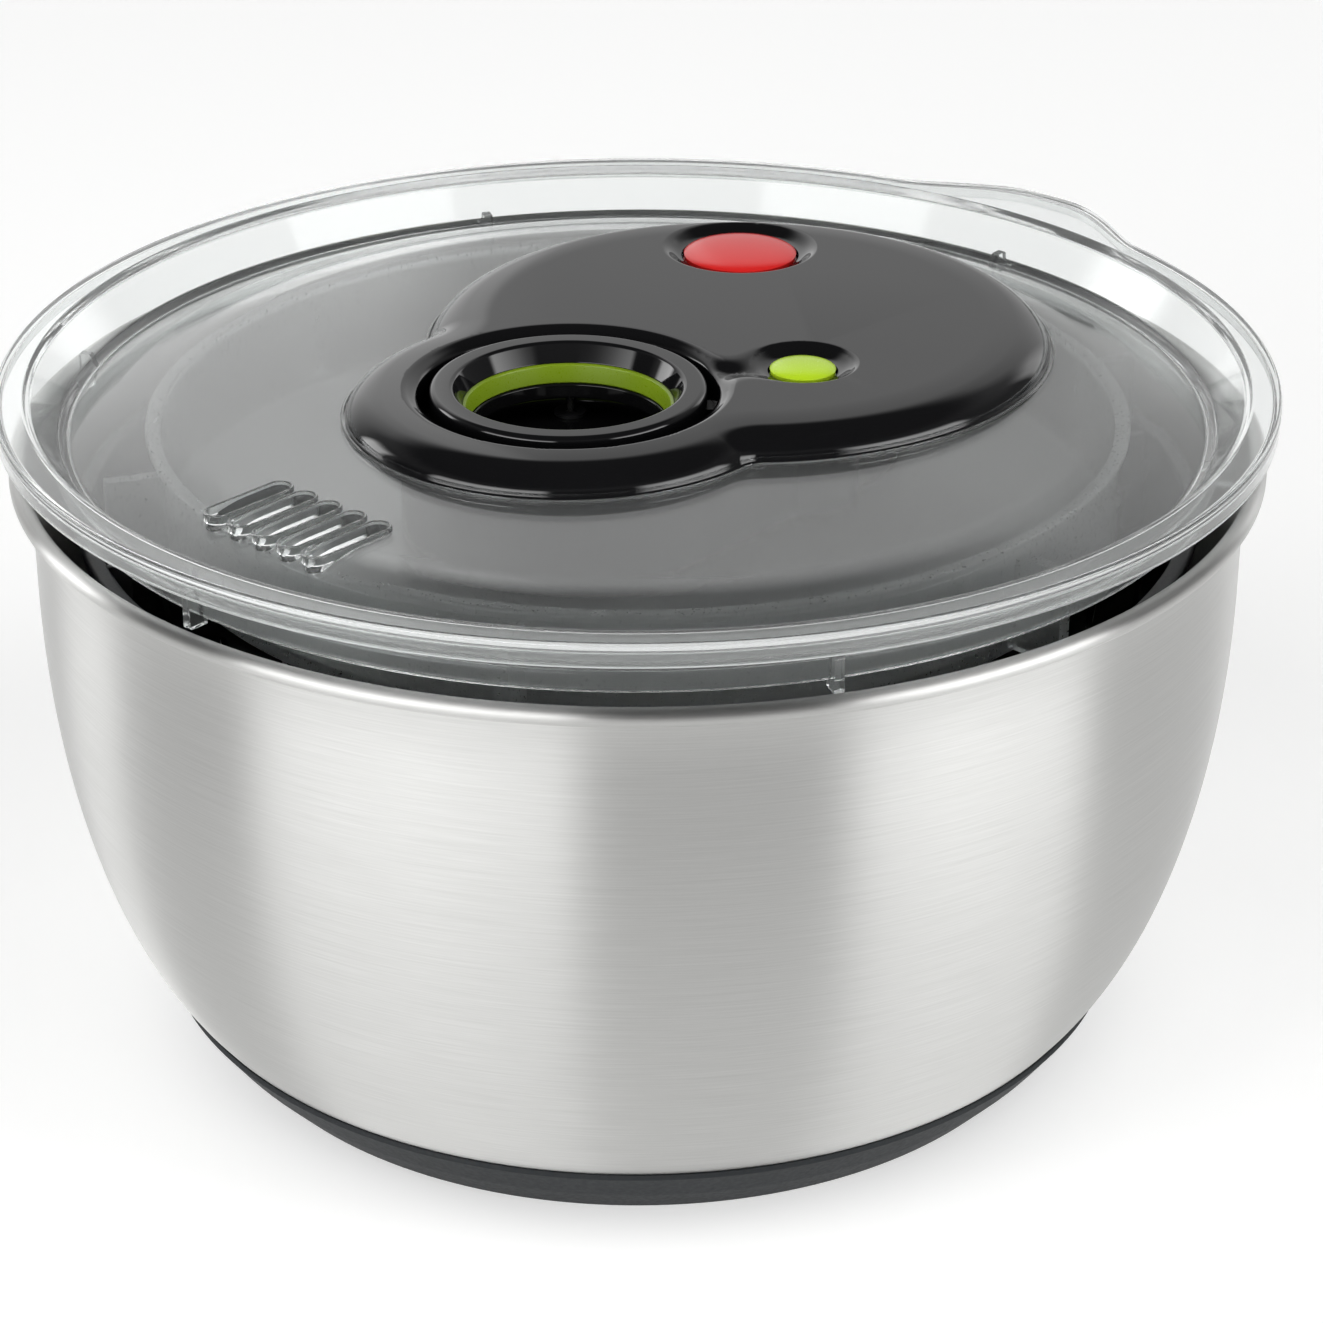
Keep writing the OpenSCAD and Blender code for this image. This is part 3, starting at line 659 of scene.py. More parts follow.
def make_bowl():
    """Sheet-steel shell whose wall flares a little into the small rolled bead of the rim."""
    roll = (RIM_R - ROLL_R, RIM_Z - ROLL_R)
    start = -math.degrees(math.acos((BOWL_R + FLARE - roll[0]) / ROLL_R))
    rim = arc(roll, ROLL_R, start, 180, 32)
    outer = bowl_curve(0, FLARE_Z) + flare(BOWL_R, rim[0])
    inner = bowl_curve(STEEL, FLARE_Z) + flare(BOWL_R - STEEL, rim[-1])
    profile = outer + rim + list(reversed(inner))
    bright = set(rim + inner)

    def material(a, b):
        return 1 if a in bright and b in bright else 0

    obj = lathe_object("bowl_shell", profile, segments=256, material=material)
    smooth(obj, 40, weighted=False)
    place(obj, "bowl", "brushed_steel", [STEEL_BRUSHED, STEEL_POLISHED], "bowl")


def make_base():
    """Rubber cap round the foot, with a shallow groove in the face that it stands on."""
    inner = [p for p in bowl_curve(-BASE_GAP, 0)[1:-1] if p[1] < BASE_TOP + EPS]
    lip = FOOT_R + BASE_LIP
    side = -low("non_slip_base").x
    groove = (BASE_R - 9, BASE_R - 6)
    corners = [
        (0, 0, 0), (groove[0], 0, 0.4), (groove[0] + 0.4, GROOVE_DEPTH, 0.3),
        (groove[1] - 0.4, GROOVE_DEPTH, 0.3), (groove[1], 0, 0.4), (BASE_R - 0.8, 0, 0.8),
        (BASE_R + 5.6, 7, 14), (min(lip, side), BASE_TOP - 0.9, 0.5), (lip - 0.35, BASE_TOP, 0.25)]
    outer = rounded(corners + [(*inner[-1], 0)], 6, closed=False)
    profile = outer + list(reversed(inner[:-1])) + [(0, BASE_T - BASE_GAP)]
    obj = lathe_object("rubber_base", profile, segments=192)
    smooth(obj, 40)
    place(obj, "bowl", "base_rubber", [RUBBER], "non_slip_base")


# ---- basket

def basket_shell():
    """Turned wall and floor of the basket, with a bead round its rim."""
    inner = BASKET_GAP + BASKET_T
    bead = BOWL_R - BASKET_GAP + BASKET_BEAD
    outside = bowl_curve(BASKET_GAP, BASKET_Z - 2.6, 16)
    inside = bowl_curve(inner, BASKET_Z - 1, 16)
    edge = rounded([(bead, BASKET_Z - 2.2, 0.3), (bead, BASKET_Z, 0.8),
                    (BOWL_R - inner, BASKET_Z, 0.5), (BOWL_R - inner, BASKET_Z - 2, 0)], 4, closed=False)
    return lathe_object("spin_basket", outside + edge + list(reversed(inside[:-1])), segments=180)


def basket_boss_and_lugs(bm):
    """Boss over the pivot, and pairs of ribs that the driver's lugs push."""
    boss = [(0, BASKET_FLOOR + 0.4, 0), (15.5, BASKET_FLOOR + 0.4, 0), (12.6, BASKET_FLOOR + 3.4, 2),
            (9, BOSS_TOP, 1), (0, BOSS_TOP, 0)]
    lathe(bm, rounded(boss, 4, closed=False), segments=64)
    wall = BOWL_R - BASKET_GAP - BASKET_T + 0.6
    for i in range(LUG_N):
        for side in (-LUG_RIB_Y, LUG_RIB_Y):
            rib = box_outline(LUG_RIB_R, wall, side - LUG_RIB_T / 2, side + LUG_RIB_T / 2)
            prism(bm, turned(rib, TURN * i / LUG_N), LUG_RIB_Z, BASKET_Z - 1, 0.3)


def basket_openings(bm):
    """Bearing hole, two rows of slots in the wall and the slots in the floor."""
    prism(bm, circle((0, 0), BEARING_R, 48), BASKET_FLOOR - 1, BASKET_FLOOR + 14)
    for i in range(WALL_SLOT_N):
        turn = TURN * (i + 0.5) / WALL_SLOT_N
        for z0, z1 in WALL_SLOT_ROWS:
            slot = stadium((0, (z0 + z1) / 2), WALL_SLOT_W, z1 - z0, 6)
            closed_loft(bm, [[turn_point((r, x, z), turn) for x, z in slot] for r in WALL_SLOT_REACH])
    for i in range(FLOOR_SLOT_N):
        slot = [(FLOOR_SLOT_R + y, x) for x, y in stadium((0, 0), FLOOR_SLOT_W, FLOOR_SLOT_L, 6)]
        prism(bm, turned(slot, TURN * i / FLOOR_SLOT_N), BASKET_FLOOR - 1, BASKET_FLOOR + 5)


def make_basket():
    obj = basket_shell()
    combine_all(obj, ((basket_boss_and_lugs, "UNION"), (basket_openings, "DIFFERENCE")))
    smooth(obj, 35)
    place(obj, "basket", "basket_plastic", [BASKET_BLACK], "basket")


def box_outline(x0, x1, y0, y1):
    return [(x0, y0), (x1, y0), (x1, y1), (x0, y1)]


def turn_point(point, angle):
    x, y, z = point
    return (x * math.cos(angle) - y * math.sin(angle), x * math.sin(angle) + y * math.cos(angle), z)


def turned(outline, angle):
    return [turn_point((x, y, 0), angle)[:2] for x, y in outline]


# ---- lid

def tab_reach(angle):
    """How far the flange grows outward at an angle, for the finger tab."""
    if math.sin(angle) < 0:
        return 0.0
    side = abs(math.cos(angle)) * LID_R
    return (TAB_R - LID_R) * ease((TAB_HALF - side) / TAB_FLANK)


def lid_warp(r, angle):
    """Radius of the lid's profile at an angle: only the flange's outer edge moves out."""
    share = min(max((r - TAB_FROM_R) / TAB_BLEND, 0), 1)
    return r + tab_reach(angle) * share


def lid_angles():
    """Fine steps round the finger tab, wider ones elsewhere."""
    fine = [math.radians(72 + 0.5 * i) for i in range(72)]
    wide = [math.radians(108 + 1.5 * i) for i in range(216)]
    return fine + wide


def tub_outline(grow):
    """Opening of the lid: two circles, their tangent lines and the release button's lobe."""
    r = TUB_R + grow
    lobe = LOBE_R + grow
    points = arc(RING_C, r, 180, 360, 40)
    below = math.degrees(math.asin(min(1, (r - RELEASE_C[0]) / lobe)))
    points += arc(RELEASE_C, lobe, below - 90, 90 - below, 12)
    points += arc(DRUM_C, r, 0, 180, 40)
    return points


def lid_shell():
    """Turned panel, dish, rising wall, flange with its lip, and skirt."""
    deep = PANEL_Z - LID_T
    corners = [
        (0, PANEL_Z, 0), (98, PANEL_Z, 30), (108, PANEL_Z - 2.2, 30), (117.3, -9.5, 1.2),
        (119.3, -8.6, 1.6), (124.9, -0.7, 1.4), (126.1, 0, 1.2), (LID_R, 0, 0.8), (LID_R, -5, 0.5),
        (LID_R - 1.4, -5, 0.5), (LID_R - 1.4, -2.2, 0.6), (125.8, -2.2, 1),
        (SKIRT_R + 0.2, -10, 1.5), (SKIRT_R, SKIRT_Z, 0.5), (SKIRT_R - 1.8, SKIRT_Z, 0.5),
        (SKIRT_R - 1.9, -11.7, 1), (108, deep - 2.2, 30), (98, deep, 30), (0, deep, 0)]
    return lathe_object("lid_shell", rounded(corners, 6, closed=False), z=LID_Z,
                        angles=lid_angles(), warp=lid_warp)


def slot_solids(bm, levels):
    """Upright solid on each pouring slot, from (growth of the outline, height) levels."""
    y0, y1 = SLOT_Y
    for i in range(-2, 3):
        middle = (i * SLOT_PITCH, (y0 + y1) / 2)
        closed_loft(bm, [at(stadium(middle, SLOT_W + 2 * grow, y1 - y0 + 2 * (grow - SLOT_RIM), 24),
                            LID_Z + z) for grow, z in levels])


def ribs_and_slot_rims(bm):
    """Centring ribs under the skirt, and a rounded rim round each pouring slot."""
    for i in range(6):
        rib = box_outline(SKIRT_R - 1, SKIRT_R + 3.2, -1, 1)
        prism(bm, turned(rib, math.radians(30 + 60 * i)), LID_Z + SKIRT_Z - 1.5, LID_Z - 9, 0.25)
    levels = [(SLOT_RIM, PANEL_Z - 1), (SLOT_RIM, SLOT_TOP - SLOT_EDGE)]
    for degrees in (22, 45, 68, 90):
        a = math.radians(degrees)
        levels.append((SLOT_RIM - SLOT_EDGE * (1 - math.cos(a)), SLOT_TOP - SLOT_EDGE * (1 - math.sin(a))))
    slot_solids(bm, levels)


def cover_collar(bm):
    """Low bead of the lid along the drive cover's outline."""
    section = ((-0.9, -0.3), (-0.9, 0.35), (-0.6, 0.6), (-0.3, 0.6), (-0.25, -0.3))
    rows = [at(cover_outline(inset), LID_Z + PANEL_Z + z) for inset, z in section]
    loft(bm, rows + rows[:1])


def drive_opening(bm):
    prism(bm, tub_outline(0.3), LID_Z + CUT[0], LID_Z + CUT[1])


def slots_and_screw_holes(bm):
    """Pouring slots that widen at the top of their rims, and the housing screws' holes."""
    slot_solids(bm, ((0, CUT[0]), (0, SLOT_TOP - SLOT_EDGE), (0.08, SLOT_TOP - 0.18),
                     (SLOT_EDGE, SLOT_TOP), (SLOT_EDGE, CUT[1])))
    for screw in SCREWS:
        prism(bm, circle(screw, 1.8, 32), LID_Z + CUT[0], LID_Z + CUT[1])


def brake_opening(bm):
    prism(bm, circle(BRAKE_C, BRAKE_R + 0.6, 72), LID_Z + CUT[0], LID_Z + CUT[1])


def make_lid():
    obj = lid_shell()
    combine_all(obj, ((ribs_and_slot_rims, "UNION"), (cover_collar, "UNION"),
                      (drive_opening, "DIFFERENCE"), (slots_and_screw_holes, "DIFFERENCE"),
                      (brake_opening, "DIFFERENCE")))
    smooth(obj, 30)
    place(obj, "lid", "clear_plastic", [CLEAR], "lid")


# ---- drive cover

def waist():
    """Centre of the right-hand fillet between the cover's two lobes."""
    a = FRONT_R + WAIST_R
    b = REAR_R + WAIST_R
    d = REAR_Y - RING_Y
    along = (a * a - b * b + d * d) / (2 * d)
    return (math.sqrt(a * a - along * along), RING_Y + along)


WAIST = waist()


def cover_outline(inset, counts=(150, 14, 110)):
    """The two-lobed outline, moved inward."""
    x, y = WAIST
    to_front = math.degrees(math.atan2(y - RING_Y, x))
    to_rear = math.degrees(math.atan2(y - REAR_Y, x))
    fillet = WAIST_R + inset
    points = arc((0, REAR_Y), REAR_R - inset, to_rear, 180 - to_rear, counts[0])[:-1]
    points += arc((-x, y), fillet, -to_rear, -to_front, counts[1])[:-1]
    points += arc(RING_C, FRONT_R - inset, 180 - to_front, 360 + to_front, counts[2])[:-1]
    points += arc((x, y), fillet, 180 + to_front, 180 + to_rear, counts[1])[:-1]
    return points


def depth_inside(x, y):
    """Distance of a point inside the cover's outline."""
    side = abs(x)
    cx, cy = WAIST
    front = math.hypot(side, y - RING_Y)
    rear = math.hypot(side, y - REAR_Y)
    lobes = max(FRONT_R - front, REAR_R - rear)
    if RING_Y < y < REAR_Y and side < cx:
        over_front = (y - RING_Y) * cx - (cy - RING_Y) * side
        over_rear = (REAR_Y - y) * cx - (REAR_Y - cy) * side
        if over_front >= 0 and over_rear >= 0:
            return math.hypot(side - cx, y - cy) - WAIST_R
    return lobes


def crown(d):
    """Level of the top at a distance inside the outline: flat, then falling gently to the edge."""
    return COVER_Z - SHOULDER_FALL * max(1 - d / SHOULDER_W, 0) ** 2


def edge_height(d):
    """Height of the cover's rounded edge at a distance inside its outline."""
    share = 1 - min(max((d - STEP_W) / (EDGE_W - STEP_W), 0), 1)
    return STEP_Z + (crown(d) - STEP_Z) * math.sqrt(1 - share * share)


def edge_inset(turn):
    return STEP_W + (EDGE_W - STEP_W) * (1 - math.cos(math.radians(turn)))


def ease(t):
    """Smooth step from 0 to 1."""
    t = min(max(t, 0), 1)
    return t * t * (3 - 2 * t)


def soft_max(a, b, blend=0.9):
    """Larger of two drops, with the crease between them rounded."""
    width = min(blend, 3 * min(a, b))
    if width <= 0:
        return max(a, b)
    share = max(width - abs(a - b), 0) / width
    return max(a, b) + share * share * width / 4


def blend_outlines(a, b):
    """Smaller of two distances, rounded where they meet, so that two outlines join in a curve."""
    share = max(VALLEY_BLEND - abs(a - b), 0) / VALLEY_BLEND
    return min(a, b) - share * share * VALLEY_BLEND / 4


def cover_drop(x, y):
    """How far the top lies below the crown: ring lip, valley and the two dishes."""
    from_ring = math.hypot(x, y - RING_Y) - RECESS_R
    share = 1 - min(max(from_ring / LIP_W, 0), 1)
    ring = LIP_DROP * (1 - math.sqrt(1 - share * share))
    from_green = math.hypot(x - RELEASE_C[0], y - RELEASE_C[1])
    green = GREEN_DISH_DROP * ease((GREEN_DISH_R - from_green) / (GREEN_DISH_R - RELEASE_HOLE_R))
    dx = RELEASE_C[0]
    dy = RELEASE_C[1] - RING_Y
    length = math.hypot(dx, dy)
    along = (x * dx + (y - RING_Y) * dy) / length
    aside = abs(x * dy - (y - RING_Y) * dx) / length
    channel = max(aside - NECK_W, along - length, RECESS_R - 4 - along)
    outside = blend_outlines(blend_outlines(from_ring - LIP_W, channel), from_green - GREEN_DISH_R)
    valley = NECK_DROP * ease(-outside / VALLEY_W)
    from_red = math.hypot(x - BRAKE_C[0], y - BRAKE_C[1])
    red = RED_DISH_DROP * ease((RED_DISH_R - from_red) / (RED_DISH_R - BRAKE_HOLE_R))
    return max(soft_max(soft_max(ring, valley), green), red)


def cover_top(x, y):
    d = depth_inside(x, y)
    return min(edge_height(d), crown(d) - cover_drop(x, y))


def on_top(outline):
    """An outline's points on the cover's top."""
    return [(x, y, cover_top(x, y)) for x, y in outline]


def valley_points():
    """Grid of points over the valley between the pull ring and the release button."""
    points = []
    x0, y0 = RELEASE_C
    for i in range(-32, 12):
        for j in range(-36, 14):
            x = x0 + i * VALLEY_GRID
            y = y0 + j * VALLEY_GRID
            off_ring = math.hypot(x, y - RING_Y) - RECESS_R
            off_green = math.hypot(x - x0, y - y0)
            near = cover_drop(x, y) > 0 or cover_drop(x + 1, y) > 0 or cover_drop(x, y + 1) > 0
            if off_ring > 1 and GREEN_DISH_R - 2.5 < off_green < VALLEY_REACH and near:
                points.append((x, y))
    return points


def cover_points():
    """Points that carry the curved parts of the cover's top."""
    points = []
    for step in (0.1, 0.35, 0.8, 1.4, 2.1, 2.8, 3.4, 4.0):
        points += circle(RING_C, RECESS_R + step, 200)
    for centre, hole, dish in ((BRAKE_C, BRAKE_HOLE_R, RED_DISH_R),
                               (RELEASE_C, RELEASE_HOLE_R, GREEN_DISH_R)):
        for i in range(1, 9):
            points += circle(centre, hole + (dish - hole) * i / 8, 96)
    points += valley_points()
    return [p for p in points if depth_inside(*p) > edge_inset(SPLIT_TURN) + 0.1
            and outside_holes(*p, 0.05)]


def outside_holes(x, y, margin=0.0, holes=HOLES):
    return all(math.hypot(x - c[0], y - c[1]) > r * 0.9999 + margin for c, r, _ in holes)


def cover_skin(bm):
    """Top with its lips and dishes, and the rounded edge down to the lid."""
    turns = [*range(0, 61, 6), SPLIT_TURN]
    profile = [(0, PANEL_Z), (0, -3.95), (0.15, -3.8), (0.35, -3.75), (STEP_W - 0.02, STEP_Z - 0.1)]
    profile += [(edge_inset(t), edge_height(edge_inset(t))) for t in turns]
    loft(bm, [at(cover_outline(d), z) for d, z in profile])
    split = edge_inset(SPLIT_TURN)
    loops = [cover_outline(split)] + [circle(*hole) for hole in HOLES]
    extra = cover_points()
    for inset in [edge_inset(turn) for turn in (71, 76, 82, 90)] + [8.7, 9.9, 11.1, 12.3, SHOULDER_W]:
        extra += [p for p in cover_outline(inset) if outside_holes(*p, 0.05)]
    fill(bm, loops, lambda x, y: depth_inside(x, y) > split and outside_holes(x, y), cover_top, extra)


def ring_recess(bm):
    """Round recess for the pull ring, with the cord's hole in its floor."""
    floor_r = RECESS_R - 1.5
    outer_r = RECESS_R + RECESS_WALL
    bevel_r = outer_r - 0.8
    under = RECESS_Z - RECESS_FLOOR
    loops = [on_top(circle(RING_C, RECESS_R, 200))]
    loops += [at(circle(RING_C, r, 200), z) for r, z in (
        (RECESS_R, RECESS_Z + 1.5), (RECESS_R - 0.4, RECESS_Z + 0.4), (floor_r, RECESS_Z))]
    loft(bm, loops)
    hole = circle(CORD_C, CORD_HOLE_R, 32)
    for r, z in ((floor_r, RECESS_Z), (bevel_r, under)):
        fill(bm, [circle(RING_C, r, 200), hole],
             lambda x, y: math.hypot(x - CORD_C[0], y - CORD_C[1]) > CORD_HOLE_R - EPS, lambda x, y: z)
    loft(bm, [at(hole, z) for z in (RECESS_Z, under)])
    loft(bm, [at(circle(RING_C, r, 200), z) for r, z in (
        (bevel_r, under), (outer_r, RECESS_Z - 0.7), (outer_r, PANEL_Z))])


def release_well(bm):
    """Well of the release button: its wall, its floor with the stem's hole, and its outside."""
    floor = -10.5
    under = -12
    loops = [on_top(circle(RELEASE_C, RELEASE_HOLE_R, 72))]
    loops += [at(circle(RELEASE_C, r, 72), z) for r, z in (
        (RELEASE_HOLE_R, floor), (STEM_HOLE_R, floor), (STEM_HOLE_R, under), (WELL_R, under),
        (WELL_R, PANEL_Z))]
    loft(bm, loops)


def brake_hole(bm):
    outline = circle(BRAKE_C, BRAKE_HOLE_R, 96)
    loft(bm, [on_top(outline), at(outline, PANEL_Z)])


def cover_underside(bm):
    """Flat face on the lid, round the outside of the recess, the well and the brake's hole."""
    holes = ((RING_C, RECESS_R + RECESS_WALL, 200), (BRAKE_C, BRAKE_HOLE_R, 96),
             (RELEASE_C, WELL_R, 72))
    fill(bm, [cover_outline(0)] + [circle(*hole) for hole in holes],
         lambda x, y: depth_inside(x, y) > 0 and outside_holes(x, y, holes=holes),
         lambda x, y: PANEL_Z)


def make_cover():
    bm = bmesh.new()
    for add in (cover_skin, ring_recess, release_well, brake_hole, cover_underside):
        add(bm)
    for vert in bm.verts:
        vert.co.z += LID_Z
    obj = new_object(bm, "drive_cover_shell", COVER_WELD)
    hollow_cover(obj)
    shade_cover(obj)
    place(obj, "lid", "black_gloss", [BLACK_GLOSS], "drive_cover")


def cover_bores(bm):
    """Blind holes for the axle and the screws."""
    prism(bm, circle(DRUM_C, 2.55, 32), LID_Z - 10, LID_Z - 1.6)
    for screw in SCREWS:
        prism(bm, circle(screw, 1.55, 24), LID_Z - 10, LID_Z - 1.2)


def hollow_cover(obj):
    """Room under the cover's roof, less the posts, and the bores in the posts."""
    bm = bmesh.new()
    prism(bm, cover_outline(COVER_WALL), LID_Z + PANEL_Z - 2, LID_Z + COVER_Z - ROOF_T)
    room = new_object(bm, "room")
    for centre, r in POSTS:
        bm = bmesh.new()
        prism(bm, circle(centre, r, 64), LID_Z + PANEL_Z - 4, LID_Z + COVER_Z - 0.2)
        combine(room, bm, "DIFFERENCE")
    bm = bmesh.new()
    bm.from_mesh(room.data)
    bmesh.ops.scale(bm, vec=(1 / MM, 1 / MM, 1 / MM), verts=bm.verts)
    bpy.data.objects.remove(room)
    combine(obj, bm, "DIFFERENCE")
    combine_all(obj, ((cover_bores, "DIFFERENCE"),))


def top_normal(x, y, step=0.02):
    """Exact normal of the cover's top."""
    dx = (cover_top(x + step, y) - cover_top(x - step, y)) / (2 * step)
    dy = (cover_top(x, y + step) - cover_top(x, y - step)) / (2 * step)
    return Vector((-dx, -dy, 1)).normalized()


def on_cover_top(face, corners):
    """Whether a face lies on the top, inside the narrow step along its edge."""
    return (face.normal.z >= 0.05
            and all(depth_inside(c.x, c.y) >= STEP_W + 0.1 for c in corners)
            and all(abs(c.z - LID_Z - cover_top(c.x, c.y)) <= 0.02 for c in corners))


def shade_cover(obj):
    """Smooth shading, with exact normals on the flat top and its curved lips."""
    smooth(obj, 38, weighted=False)
    mesh = obj.data
    normals = [Vector(n.vector) for n in mesh.corner_normals]
    for face in mesh.polygons:
        corners = [mesh.vertices[i].co / MM for i in face.vertices]
        if not on_cover_top(face, corners):
            continue
        for loop, c in zip(face.loop_indices, corners):
            if outside_holes(c.x, c.y, 0.03):
                normals[loop] = top_normal(c.x, c.y)
    mesh.normals_split_custom_set(normals)


# ---- ring, buttons and cord

def cord_socket(bm):
    """Bore under the ring that takes the cord's ferrule."""
    prism(bm, circle(CORD_C, 1.55, 32), LID_Z - 12, LID_Z - 5.5)


def cord_socket(bm):
    """Bore under the ring that takes the cord's ferrule."""
    prism(bm, circle(CORD_C, 1.55, 32), LID_Z - 12, LID_Z - 5.5)


def make_ring():
    """Pull ring: a round inner slope over a ledge that carries the lime insert."""
    corners = [(19.2, -9.5, 0.4), (27.2, -9.5, 1.2), (28.3, -8.4, 0.8), (28.3, COVER_Z, 1.3),
               (23.6, COVER_Z, 1.0), (21.6, -2.4, 0.4), (21.6, -6.5, 0.1), (19.8, -6.5, 0.4)]
    obj = lathe_object("pull_ring_body", rounded(corners, 8), centre=RING_C, z=LID_Z, segments=192,
                       ring=True)
    combine_all(obj, ((cord_socket, "DIFFERENCE"),))
    smooth(obj, 35)
    place(obj, "pull_ring", "black_gloss", [BLACK_GLOSS], "pull_ring")


def make_insert():
    """Lime band on the inner ledge of the pull ring, in a darker copy of the lime plastic: painted shade
    of the ring's hole.
    """
    corners = [(20.1, -6.45, 0.3), (21.55, -6.45, 0.1), (21.55, -2.45, 0.1), (20.8, -2.6, 0.4)]
    obj = lathe_object("ring_insert_band", rounded(corners, 5), centre=RING_C, z=LID_Z,
                       segments=192, ring=True)
    smooth(obj, 35)
    place(obj, "pull_ring", "lime_plastic", [LIME_PAINTED_SHADE], "ring_insert")


def make_button(name, body, slot, material, cad, centre, radius, edge, crown_h, skirt, stem, wall):
    """Domed push button, centred on the axis of its stem, which is given as (radius, lower end)."""
    dome = [(0, edge + crown_h)]
    for i in range(1, 13):
        a = math.radians(90 - 84 * i / 12)
        dome.append((radius * math.cos(a) * 0.985, edge + crown_h * math.sin(a)))
    side = rounded([(radius, edge - 0.15, 0.3), (radius, skirt, 0.3), (radius - wall, skirt, 0.3),
                    (radius - wall, skirt + 1.3, 0.4), (stem[0], skirt + 1.3, 0.4),
                    (*stem, 0.3)], 4, closed=True)
    obj = lathe_object(name, dome + side + [(0, stem[1])], centre=centre, z=LID_Z, segments=96)
    smooth(obj, 35)
    place(obj, body, slot, [material], cad)


def place_between(obj, material, cad, centre, z0, z1):
    """Shades obj smooth, gives it its material, bakes its place into its mesh and hides the CAD node it
    stands for; the ends at z0 and z1 are worked out but not used.
    """
    smooth(obj, 60, weighted=False)
    obj.data.materials.append(material)
    ends = [(centre[0] * MM, centre[1] * MM, (LID_Z + z) * MM) for z in (z0, z1)]
    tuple(ends[0])
    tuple(ends[1])
    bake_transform(obj)
    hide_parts(cad)


def make_riser():
    """Cord between the guide pulley and the pull ring."""
    z0 = -21
    z1 = -8.8
    outline = circle(CORD_C, CORD_R, 20)
    bm = bmesh.new()
    closed_loft(bm, [at(outline, LID_Z + z0 + (z1 - z0) * i / 24) for i in range(25)])
    obj = new_object(bm, "pull_cord_length")
    place_between(obj, CORD, "pull_cord_riser", CORD_C, z0, z1)


def make_spring(name, cad, centre, radius, wire, z0, z1):
    """Coil spring between the housing and a button."""
    steps = SPRING_TURNS * SPRING_STEPS
    rise = (z1 - z0 - 2 * wire) / steps
    slope = math.atan2(rise, radius * TURN / SPRING_STEPS)
    loops = []
    for i in range(steps + 1):
        middle = LID_Z + z0 + wire + rise * i
        loop = [turn_point((radius + out, -up * math.sin(slope), middle + up * math.cos(slope)),
                           TURN * i / SPRING_STEPS) for out, up in circle((0, 0), wire, 12)]
        loops.append([(centre[0] + x, centre[1] + y, z) for x, y, z in loop])
    bm = bmesh.new()
    closed_loft(bm, loops)
    obj = new_object(bm, name)
    place_between(obj, SPRING_STEEL, cad, centre, z0, z1)


# ---- driver disc

def driver_hub_and_lugs(bm):
    """Wall of the clutch's cup, and the lugs that turn the basket."""
    cup = rounded([(20, -41.4, 0.2), (24, -41.4, 0.3), (24, -33.2, 0), (20, -33.2, 0)], 3)
    lathe(bm, cup, z=LID_Z, segments=96, ring=True)
    lug = box_outline(DISC_R - 0.7, DISC_R + 11.5, -1.5, 1.5)
    for i in range(LUG_N):
        prism(bm, turned(lug, TURN * i / LUG_N), LID_Z - 32, LID_Z - 13, 0.35)


def driver_bores(bm):
    """Hole for the output shaft, and bores for the cup's screws and the pawls' pins."""
    prism(bm, circle((0, 0), 5.05, 48), LID_Z - 45, LID_Z - 20)
    for angles, reach, r, z0, z1 in (((70, 120, 250, 300), 22, 1.1, -45, -36.4),
                                     ((20, 200), 16.6, 1, -40, -32.6)):
        for angle in angles:
            a = math.radians(angle)
            prism(bm, circle((reach * math.cos(a), reach * math.sin(a)), r, 20), LID_Z + z0, LID_Z + z1)


def make_driver():
    """Shallow dish with an upright rim, the clutch's cup under it and lugs round it."""
    rim = DISC_R + 1.6
    corners = [(0, DISC_LOW, 0), (DISC_R - 0.6, DISC_LOW, 1), (DISC_R, -11.6, 0.4), (rim, -11.4, 0.3),
               (rim, -10.1, 0.5), (DISC_R - 1.6, -10.1, 0.5), (DISC_R - 1.8, DISC_TOP, 1.6),
               (8.5, DISC_TOP, 0.3), (8.5, DISC_TOP + 0.5, 0.2), (0, DISC_TOP + 0.5, 0)]
    obj = lathe_object("driver_dish", rounded(corners, 5, closed=False), z=LID_Z, segments=192)
    combine_all(obj, ((driver_hub_and_lugs, "UNION"), (driver_bores, "DIFFERENCE")))
    smooth(obj, 32)
    place(obj, "driver", "frosted_plastic", [FROSTED], "driver_disc")


# ---- studio

CAMERA_PLACE = (0.48351, -0.51816, 0.42955)
CAMERA_TURN = (63.5355, 0, 42.625)
CAMERA_SIDE = math.radians(-47)
# Grey levels of the screens, each at its angle in degrees from the camera's side
LOW_BANDS = ((-180, 0.72), (-177.5, 0.72), (-175.5, 1.2), (-158, 1.2), (-144, 0.8), (-128, 0.3),
             (-123, 4.5), (-109, 4.5), (-104, 0.3), (-94, 0.05), (-74, 0.05), (-69, 4.5), (-56, 5.4),
             (-38, 5.8), (-24, 5.0), (-13, 4.8), (-8, 0.05), (34, 0.06), (41, 4.6), (56, 5.8),
             (84, 4.8), (89, 0.15), (128, 0.15), (134, 1.5), (142, 1.5), (150, 0.72), (180, 0.72))
HIGH_BANDS = ((-180, 0.72), (-177.5, 0.72), (-175.5, 1.2), (-158, 1.2), (-144, 0.8), (-134, 0.3),
              (-100, 0.15), (100, 0.15), (138, 0.3), (150, 0.72), (180, 0.72))
CEILING = 0.05
BRIGHTEST = max(level for _, level in LOW_BANDS)

# Elevations, in degrees, over which the low screens, the high ones and the ceiling follow each other
HIGH_FADE = (18, 32)
CEILING_FADE = (36, 50)

# Lights, in metres and watts
SOFTBOX_AIM = (0, 0, 0.09)
SOFTBOX_DISTANCE = 1.6
SOFTBOX_SIZE = 0.8
SOFTBOX_POWER = 7
FLOOR_R = 40000


